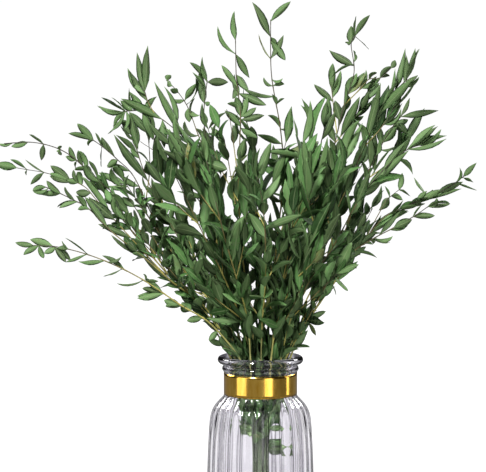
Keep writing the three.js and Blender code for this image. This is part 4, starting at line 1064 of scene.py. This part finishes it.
def make_bark_material():
    """Bark that goes from grey-green, darkened by painted shade inside the vase, through gold to dark brown
    with age, with streaks of noise drawn out along the shoot."""
    material, tree, shader = new_material("eucalyptus bark")
    measure = add_node(tree, "ShaderNodeUVMap", uv_map="bark").outputs[0]
    stretched = add_node(tree, "ShaderNodeMapping", {"Vector": measure, "Scale": STREAK_SCALE}).outputs[0]
    streaks = add_node(tree, "ShaderNodeTexNoise", {"Vector": stretched, "Scale": 1, "Detail": 4}).outputs[0]
    age = attribute(tree, "bark_age_and_shade")
    shade = math_node(tree, "MULTIPLY_ADD", math_node(tree, "SUBTRACT", streaks, 0.5), STREAK_SHARE, age)
    tree.links.new(ramp(tree, shade, BARKS), shader.inputs["Base Color"])
    bump = add_node(tree, "ShaderNodeBump", {"Height": streaks, "Strength": 0.4, "Distance": 0.0003})
    tree.links.new(bump.outputs[0], shader.inputs["Normal"])
    shader.inputs["Roughness"].default_value = 0.6
    shader.inputs["Specular IOR Level"].default_value = 0.3
    return material


bark = make_bark_material()
print("bark nodes:", len(bark.node_tree.nodes))

# %% [markdown]
# ## One leaf as a surface
# A leaf is a closed ring of points carried along a bent midrib, from the stalk to the tip. Two flat
# sheets would do from far away, but a closed thin blade with a fold and a curl catches the light on
# one half and loses it on the other, as real ones do.

# %% Leaf surface
ALONG = np.array([0.03, 0.13, 0.26, 0.42, 0.59, 0.76, 0.90])
ACROSS = np.array([-1.0, -0.55, 0.0, 0.55, 1.0, 0.55, 0.0, -0.55])
TOP_SIDE = np.array([0, 1, 1, 1, 0, -1, -1, -1])
STALK_SHARE = 0.08
STALK_HALF = 0.45
STALK_BLENDS_BY = 0.15
BLADE_THICKNESS = 0.22
THINNER_AT_MARGIN = 0.75
BEND, BEND_SPREAD = 0.3, 0.55
LEAST_BEND = 0.02
TWIST_SPREAD = 0.5
FOLDS = (0.15, 0.8)
HIGHEST_WAVE = 0.07
WAVES_ALONG = 9


def leaf_half_width(along, width, full):
    """Half the blade's width: it swells past the stalk and tapers to a point. The two powers say how
    full the blade is towards its foot and towards its tip."""
    blade = np.clip((along - STALK_SHARE) / (1 - STALK_SHARE), 0, 1)
    low, high = full[..., :1], full[..., 1:]
    swell = blade**low * (1 - blade)**high
    peak = low**low * high**high / (low + high)**(low + high)
    return STALK_HALF * (1 - along) + width / 2 * swell / peak


def leaf_points(leaves, rng):
    """The points of many leaves at once: a pole at the foot, seven rings, and a pole at the tip.
    The midrib is an arc, whose place along and above the leaf's line comes from the sine and cosine of
    the angle it has turned through. The blade twists slowly round it, both halves rise from it in a
    fold, and a sine along the leaf makes the margins wavy."""
    foot, along, blade = (np.array([leaf[k] for leaf in leaves])[:, None, None, :] for k in range(3))
    length, width = (np.array([leaf[k] for leaf in leaves])[:, None, None] for k in (3, 4))
    count = len(leaves)
    bend = rng.normal(BEND, BEND_SPREAD, (count, 1, 1))
    bend = np.where(np.abs(bend) < LEAST_BEND, LEAST_BEND, bend)
    twist = rng.normal(0.0, TWIST_SPREAD, (count, 1, 1))
    fold = rng.uniform(*FOLDS, (count, 1, 1))
    wave = rng.uniform(0.0, HIGHEST_WAVE, (count, 1, 1))
    phase = rng.uniform(0.0, 2 * math.pi, (count, 1, 1))
    up = np.cross(blade, along)
    u = np.concatenate([[0.0], ALONG, [1.0]])[None, :, None]
    v = ACROSS[None, None, :]
    angle = bend * (u - 0.5)
    middle = foot + (length * (np.sin(angle) + np.sin(bend / 2)) / bend)[..., None] * along
    middle = middle + (length * (np.cos(angle) - np.cos(bend / 2)) / bend)[..., None] * up
    lifted = np.cos(angle)[..., None] * up + np.sin(angle)[..., None] * along
    turned = twist * u
    wide = np.cos(turned)[..., None] * blade + np.sin(turned)[..., None] * lifted
    high = np.cos(turned)[..., None] * lifted - np.sin(turned)[..., None] * blade
    half = leaf_half_width(u, width, np.array([leaf[5] for leaf in leaves])[:, None, :])
    lift = fold * np.abs(v) * half + wave * width * np.sin(WAVES_ALONG * u + phase) * np.abs(v) * v
    stalk = STALK_HALF * np.clip(1 - u / STALK_BLENDS_BY, 0, 1)
    thick = BLADE_THICKNESS / 2 * (1 - THINNER_AT_MARGIN * v**2) + stalk
    rings = middle + (half * v)[..., None] * wide + (lift + thick * TOP_SIDE)[..., None] * high
    return np.concatenate([middle[:, 0], rings[:, 1:-1].reshape(count, -1, 3), middle[:, -1]], axis=1)


LEAF_QUADS, LEAF_TRIANGLES = ringed_faces(len(ALONG), len(ACROSS))
LEAF_POINTS = 2 + len(ALONG) * len(ACROSS)
print("faces on one leaf:", len(LEAF_QUADS) + len(LEAF_TRIANGLES))

# %% Build the leaves of a branch
TONE, TONE_SPREAD = 0.41, 0.28
DARKEST_TONE, LIGHTEST_TONE = 0.02, 0.85
OLIVE_SHARE = 0.012
OLIVE_TONE = 1.0
# How far from the axis a leaf may reach at each height without touching the glass.
ROOM_HEIGHTS = [8, 14, 128, 138, 147, 152, 191, 192]
ROOM_RADII = [36, 44, 44, 40, 34, 31, 31, 999]


def is_clear_of_glass(points):
    """True for each leaf with no point outside the room that the vase leaves at its height."""
    radius = np.hypot(points[..., 0], points[..., 1])
    room = np.interp(points[..., 2], ROOM_HEIGHTS, ROOM_RADII)
    return (radius < room).all(axis=1)


def make_leaves(name, leaves, rng):
    """All the leaves of one branch as one piece, each with a tone of its own, to which the painted shade of
    edge-on and neck leaves and the painted light of front leaves are added. A few are olive.
    """
    points = leaf_points(leaves, rng)
    # The tone adds each leaf's painted light and shade to its random tone.
    tone = rng.normal(TONE, TONE_SPREAD, len(leaves)) + [leaf[6] for leaf in leaves]
    tone = np.clip(tone, DARKEST_TONE, LIGHTEST_TONE)
    tone[rng.random(len(leaves)) < OLIVE_SHARE] = OLIVE_TONE
    clear = is_clear_of_glass(points)
    points, tone = points[clear], tone[clear]
    count = len(points)
    quads = repeated(LEAF_QUADS, count, LEAF_POINTS)
    triangles = repeated(LEAF_TRIANGLES, count, LEAF_POINTS)
    piece = new_piece(name, points.reshape(-1, 3), quads.tolist() + triangles.tolist(), leaf_green)
    across = np.concatenate([[0.5], np.tile((ACROSS + 1) / 2, len(ALONG)), [0.5]])
    along = np.concatenate([[0.0], np.repeat(ALONG, len(ACROSS)), [1.0]])
    give_uv(piece, "leaf", np.tile(np.column_stack([along, across]), (count, 1)))
    give_number(piece, "leaf_tone", np.repeat(tone, LEAF_POINTS))
    side = np.arange(len(ACROSS)) >= len(ACROSS) // 2
    quad_side = np.tile(side, len(ALONG) - 1)
    triangle_side = np.tile(side, 2)
    under = np.concatenate([np.tile(quad_side, count), np.tile(triangle_side, count)])
    give_number(piece, "underside", under, "FACE")
    return piece


# %% [markdown]
# ## Stems as tubes
# A stem could be a curve with a round bevel, but a tube worked out ring by ring can swell a little
# at every pair of leaves, where a real shoot has its knots.

# %% Stem surface
TUBE_SIDES = 8
RING_STEP = 3.0
KNOT_SWELL = 0.3
KNOT_REACH = 1.8
STEM_AGES_AND_SHADE = (0.05, 0.25, 0.42, 0.95)
TWIG_AGES = (0.52, 0.95)
AGE_SPREAD = 0.05


def tube_points(shoot):
    """Rings of points round the fine line, thinner towards the tip and swollen at each knot by a bell
    curve of how far along it a ring lies from the knot."""
    steps = np.linalg.norm(np.diff(shoot.fine, axis=0), axis=1)
    along = np.concatenate([[0], np.cumsum(steps)])
    stations = np.linspace(0, along[-1], max(4, int(along[-1] / RING_STEP)))
    middle = np.column_stack([np.interp(stations, along, shoot.fine[:, k]) for k in range(3)])
    tangent = unit(np.gradient(middle, axis=0))
    chord = unit(middle[-1] - middle[0])
    reference = np.cross(chord, np.eye(3)[np.argmin(np.abs(chord))])
    normal = unit(reference - tangent * (tangent @ reference)[:, None])
    binormal = np.cross(tangent, normal)
    radius = np.interp(stations / along[-1], [0, 1], shoot.radii)
    knots = np.array(shoot.nodes or [-100.0])
    near = np.exp(-(((stations[:, None] - knots[None]) / KNOT_REACH)**2)).max(axis=1)
    radius = radius * (1 + KNOT_SWELL * near)
    turn = np.linspace(0, 2 * math.pi, TUBE_SIDES, endpoint=False)
    spokes = normal[:, None] * np.cos(turn)[None, :, None] + binormal[:, None] * np.sin(turn)[None, :, None]
    rings = middle[:, None] + spokes * radius[:, None, None]
    points = np.vstack([middle[:1], rings.reshape(-1, 3), middle[-1:]])
    across = np.tile(turn / (2 * math.pi), len(stations))
    measure = np.column_stack([np.repeat(stations / 1000, TUBE_SIDES), across])
    return points, np.vstack([measure[:1], measure, measure[-1:]]), len(stations)


print("sides on a stem:", TUBE_SIDES)


def make_wood(name, shoots, rng):
    """The stem and the twigs of one branch as one piece, each with its own age. A stem's age passes
    through the one of fresh bark where it leaves the vase's lip, and below the lip its low values give bark
    darkened with painted shade."""
    points, measures, faces, ages = [], [], [], []
    start = 0
    for shoot in shoots:
        shoot_points, measure, rings = tube_points(shoot)
        quads, triangles = ringed_faces(rings, TUBE_SIDES)
        faces += (quads + start).tolist() + (triangles + start).tolist()
        points.append(shoot_points)
        measures.append(measure)
        share = np.linspace(0, 1, len(shoot_points))
        if shoot.radii == STEM_RADII:
            rim = share[np.argmax(shoot_points[:, 2] > LIP_HEIGHT)]
            # Inside the vase the low values pick bark darkened with painted shade.
            age = np.interp(share, [0, 0.75 * rim, rim, 1], STEM_AGES_AND_SHADE)
        else:
            age = np.interp(share, [0, 1], TWIG_AGES)
        ages.append(age + rng.uniform(-AGE_SPREAD, AGE_SPREAD))
        start += len(shoot_points)
    piece = new_piece(name, np.vstack(points), faces, bark)
    give_uv(piece, "bark", np.vstack(measures))
    give_number(piece, "bark_age_and_shade", np.clip(np.concatenate(ages), 0, 1))
    return piece


# %% Build every branch
triangles = 0
for i, (name, shoots, leaves) in enumerate(bouquet):
    rng = np.random.default_rng(SEEDS["blades"] + i)
    blades = make_leaves(f"{name}_leaves", leaves, rng)
    wood = make_wood(f"{name}_wood", shoots, rng)
    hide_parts(name)
    for piece in (blades, wood):
        piece.data.calc_loop_triangles()
        triangles += len(piece.data.loop_triangles)
print("triangles on the branches:", triangles)

# %% [markdown]
# ## The vase
# The vase is pressed clear glass: a rolled lip, a ring below it, a neck, and a body of upright
# rounded ribs with narrow grooves between them. It could be a cylinder with a bump for its ribs, but
# a bump doesn't bend what is seen through the wall. So it is one outline turned round the axis,
# outside and inside, and the ribs are a little shallower inside, which makes each one a weak lens.
# The vase casts no shadow, because without caustics the shadow of clear glass would come out black.

# %% Vase material
BODY_TINT = (0.92, 0.905, 0.945)
LIP_TINT = (0.56, 0.55, 0.60)
LIP_TINT_FROM = 172
LIP_TINT_TO = 184
# The near-black colour of the painted shade in the grooves, in the rings and where the glass is seen edge on.
PAINTED_SHADE_TINT = (0.10, 0.095, 0.12)
GROOVE_PLACE = 0.43
GROOVE_HALF = 0.025
GROOVE_SOFT = 0.035
RING_HEIGHTS = (175.0, 178.8, 182.8)
RING_HALF = 0.6
RING_SOFT = 0.6
LINE_SHADE_DEPTH = 0.92
EDGE_FROM = 0.45
EDGE_TO = 0.9
EDGE_SHADE_DEPTH = 0.9


def make_glass_material():
    """Clear glass, faintly lilac, and greyer in the thick lip. Painted shade draws dark lines in the grooves
    between the ribs and in the rings under the lip, and darkens the glass where it is seen edge on."""
    material, tree, shader = new_material("clear glass")
    measure = add_node(tree, "ShaderNodeUVMap", uv_map="vase").outputs[0]
    around, strength = add_node(tree, "ShaderNodeSeparateXYZ", {0: measure}).outputs[:2]
    aside = math_node(tree, "PINGPONG", around, 0.5)
    groove = times(tree, band(tree, aside, GROOVE_PLACE, GROOVE_HALF, GROOVE_SOFT), strength)
    facing = add_node(tree, "ShaderNodeLayerWeight", {"Blend": 0.5}).outputs["Facing"]
    edge = rise(tree, facing, EDGE_FROM, EDGE_TO)
    place = add_node(tree, "ShaderNodeTexCoord").outputs["Object"]
    height = add_node(tree, "ShaderNodeSeparateXYZ", {0: place}).outputs[2]
    line = groove
    for ring_height in RING_HEIGHTS:
        ring = band(tree, height, ring_height * MM, RING_HALF * MM, RING_SOFT * MM)
        line = math_node(tree, "MAXIMUM", line, ring)
    # Painted shade: lines in the grooves and rings, and darkening where the glass is seen edge on.
    dark = math_node(tree, "MAXIMUM", times(tree, line, LINE_SHADE_DEPTH), times(tree, edge, EDGE_SHADE_DEPTH))
    lip = rise(tree, height, LIP_TINT_FROM * MM, LIP_TINT_TO * MM)
    tint = mix_colour(tree, lip, BODY_TINT, LIP_TINT)
    glass = mix_colour(tree, dark, tint, PAINTED_SHADE_TINT)
    tree.links.new(glass, shader.inputs["Base Color"])
    shader.inputs["Roughness"].default_value = 0.02
    shader.inputs["IOR"].default_value = 1.48
    shader.inputs["Transmission Weight"].default_value = 1.0
    return material


clear_glass = make_glass_material()
print("glass nodes:", len(clear_glass.node_tree.nodes))

# %% Vase surface
RIBS = 24
RIB_DEPTH = 2.1
INSIDE_SHARE = 0.75
GROOVE_ROUNDING = 0.02
POINTS_PER_RIB = 12
ROWS_PER_SPAN = 4
OUTSIDE = [(0, 0), (25, 0), (44, 0), (48, 1), (51, 4), (53, 10), (54, 20), (54, 35), (54, 50), (53.6, 75),
           (52.7, 98), (51.5, 120), (50.6, 128), (48.6, 135), (45.2, 141), (40.8, 146), (37.2, 150),
           (36, 154), (36, 160), (36, 168), (36.2, 173), (37.6, 175.2), (38.5, 177), (38, 179.2), (37, 181),
           (39, 182.2), (41.6, 183.4), (43, 186), (42, 188.8), (39.5, 190)]
INSIDE = [(37, 189.8), (34.8, 188.4), (33.4, 185), (33, 180), (33, 170), (33, 160), (33.4, 153),
          (36, 147.4), (40, 142.6), (43.6, 138), (46, 130), (48, 116), (49.4, 96), (50, 70), (50, 45),
          (50, 25), (48.5, 14), (44, 9), (38, 8), (20, 8), (0, 8)]


def rib_strength(height):
    """How deep the ribs are pressed at a height: full on the body, and fading out below the neck."""
    return np.interp(height, [2, 14, 130, 148, 153], [0, 1, 1, 0.6, 0])


def make_vase():
    """An outline turned round the axis. The radius shrinks by the ribs' depth times what the size of
    a cosine with one peak for each rib falls short of one, which makes round ribs with narrow grooves.
    The inside has most of that depth too, as pressed glass does. The UV map counts ribs and says how
    strong they are."""
    outline = np.array([(r, h, 0.0) for r, h in OUTSIDE + INSIDE])
    rows = smooth_line(outline, ROWS_PER_SPAN)[:, :2]
    rows[:, 0] = np.clip(rows[:, 0], 0, None)
    outside_rows = (len(OUTSIDE) - 1) * ROWS_PER_SPAN + 1
    rows = rows[1:-1]
    turn = np.linspace(0, 2 * math.pi, RIBS * POINTS_PER_RIB, endpoint=False)
    wave = np.sqrt(np.cos(turn * RIBS / 2)**2 + GROOVE_ROUNDING) / math.sqrt(1 + GROOVE_ROUNDING)
    depth = RIB_DEPTH * rib_strength(rows[:, 1])
    depth[outside_rows:] *= INSIDE_SHARE
    radius = rows[:, :1] - depth[:, None] * (1 - wave[None])
    rings = np.stack([radius * np.cos(turn), radius * np.sin(turn),
                      np.repeat(rows[:, 1:], len(turn), axis=1)], axis=-1)
    points = np.vstack([[0, 0, 0], rings.reshape(-1, 3), [0, 0, 8]])
    quads, triangles = ringed_faces(len(rows), len(turn))
    piece = new_piece("ribbed_vase", points, quads.tolist() + triangles.tolist(), clear_glass)
    around = np.tile(turn * RIBS / (2 * math.pi), len(rows))
    drawn = np.where(np.arange(len(rows)) < outside_rows, depth / RIB_DEPTH, 0)
    strength = np.repeat(drawn, len(turn))
    middle = np.column_stack([around, strength])
    give_uv(piece, "vase", np.vstack([middle[:1], middle, middle[-1:]]))
    return piece


ribbed_vase = make_vase()
ribbed_vase.visible_shadow = False
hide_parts("vase")
print("vase faces:", len(ribbed_vase.data.polygons))

# %% [markdown]
# ## The ribbon
# A stiff gold foil ribbon is wrapped once round the neck. It could be simulated as cloth, but it is
# held tight all the way round, so a thin band with a very shallow wave, which breaks its shine, is
# enough.

# %% Ribbon material
GOLDS = [(0.3, (0.68, 0.38, 0.05)), (0.7, (0.84, 0.54, 0.11))]
WEAVE_SCALE = (260, 60, 1)


def make_ribbon_material():
    """Gold foil that mirrors the cards, over a fine weave of noise drawn out up the band."""
    material, tree, shader = new_material("gold foil ribbon")
    measure = add_node(tree, "ShaderNodeUVMap", uv_map="ribbon").outputs[0]
    fine = add_node(tree, "ShaderNodeMapping", {"Vector": measure, "Scale": WEAVE_SCALE}).outputs[0]
    weave = add_node(tree, "ShaderNodeTexNoise", {"Vector": fine, "Scale": 1, "Detail": 3}).outputs[0]
    gold = ramp(tree, weave, GOLDS)
    bump = add_node(tree, "ShaderNodeBump", {"Height": weave, "Strength": 0.08, "Distance": 0.0002})
    tree.links.new(gold, shader.inputs["Base Color"])
    tree.links.new(bump.outputs[0], shader.inputs["Normal"])
    shader.inputs["Metallic"].default_value = 1.0
    shader.inputs["Roughness"].default_value = 0.15
    return material


gold_foil = make_ribbon_material()
print("foil nodes:", len(gold_foil.node_tree.nodes))

# %% Ribbon surface
RIBBON_FOOT = 151.5
RIBBON_TOP = 173.5
RIBBON_RADIUS = 36.75
RIBBON_THICKNESS = 0.35
RIBBON_ROWS = 9
RIBBON_SIDES = 240
SLOW_WAVE = 0.10
FAST_WAVE = 0.05


def make_ribbon():
    """A closed thin band: an inner and an outer wall round the neck, joined along both edges. The
    radius gains a slow wave of a tenth of a millimetre and a faster one half as high."""
    turn = np.linspace(0, 2 * math.pi, RIBBON_SIDES, endpoint=False)
    height = np.linspace(RIBBON_FOOT, RIBBON_TOP, RIBBON_ROWS)
    wave = SLOW_WAVE * np.sin(5 * turn + 1) + FAST_WAVE * np.sin(13 * turn)
    rows = np.concatenate([height, height[::-1]])
    wall = np.repeat([RIBBON_THICKNESS / 2, -RIBBON_THICKNESS / 2], RIBBON_ROWS)
    radius = RIBBON_RADIUS + wave[None] + wall[:, None]
    rings = np.stack([radius * np.cos(turn), radius * np.sin(turn),
                      np.repeat(rows[:, None], len(turn), axis=1)], axis=-1)
    i, j = np.meshgrid(np.arange(len(rows)), np.arange(RIBBON_SIDES), indexing="ij")
    row, next_row = i * RIBBON_SIDES, (i + 1) % len(rows) * RIBBON_SIDES
    next_turn = (j + 1) % RIBBON_SIDES
    faces = np.stack([row + j, row + next_turn, next_row + next_turn, next_row + j], axis=-1).reshape(-1, 4)
    piece = new_piece("gold_ribbon", rings.reshape(-1, 3), faces.tolist(), gold_foil)
    across = np.repeat((rows - RIBBON_FOOT) * MM, len(turn))
    give_uv(piece, "ribbon", np.column_stack([np.tile(turn * RIBBON_RADIUS * MM, len(rows)), across]))
    return piece


gold_ribbon = make_ribbon()
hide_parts("neck_ribbon")
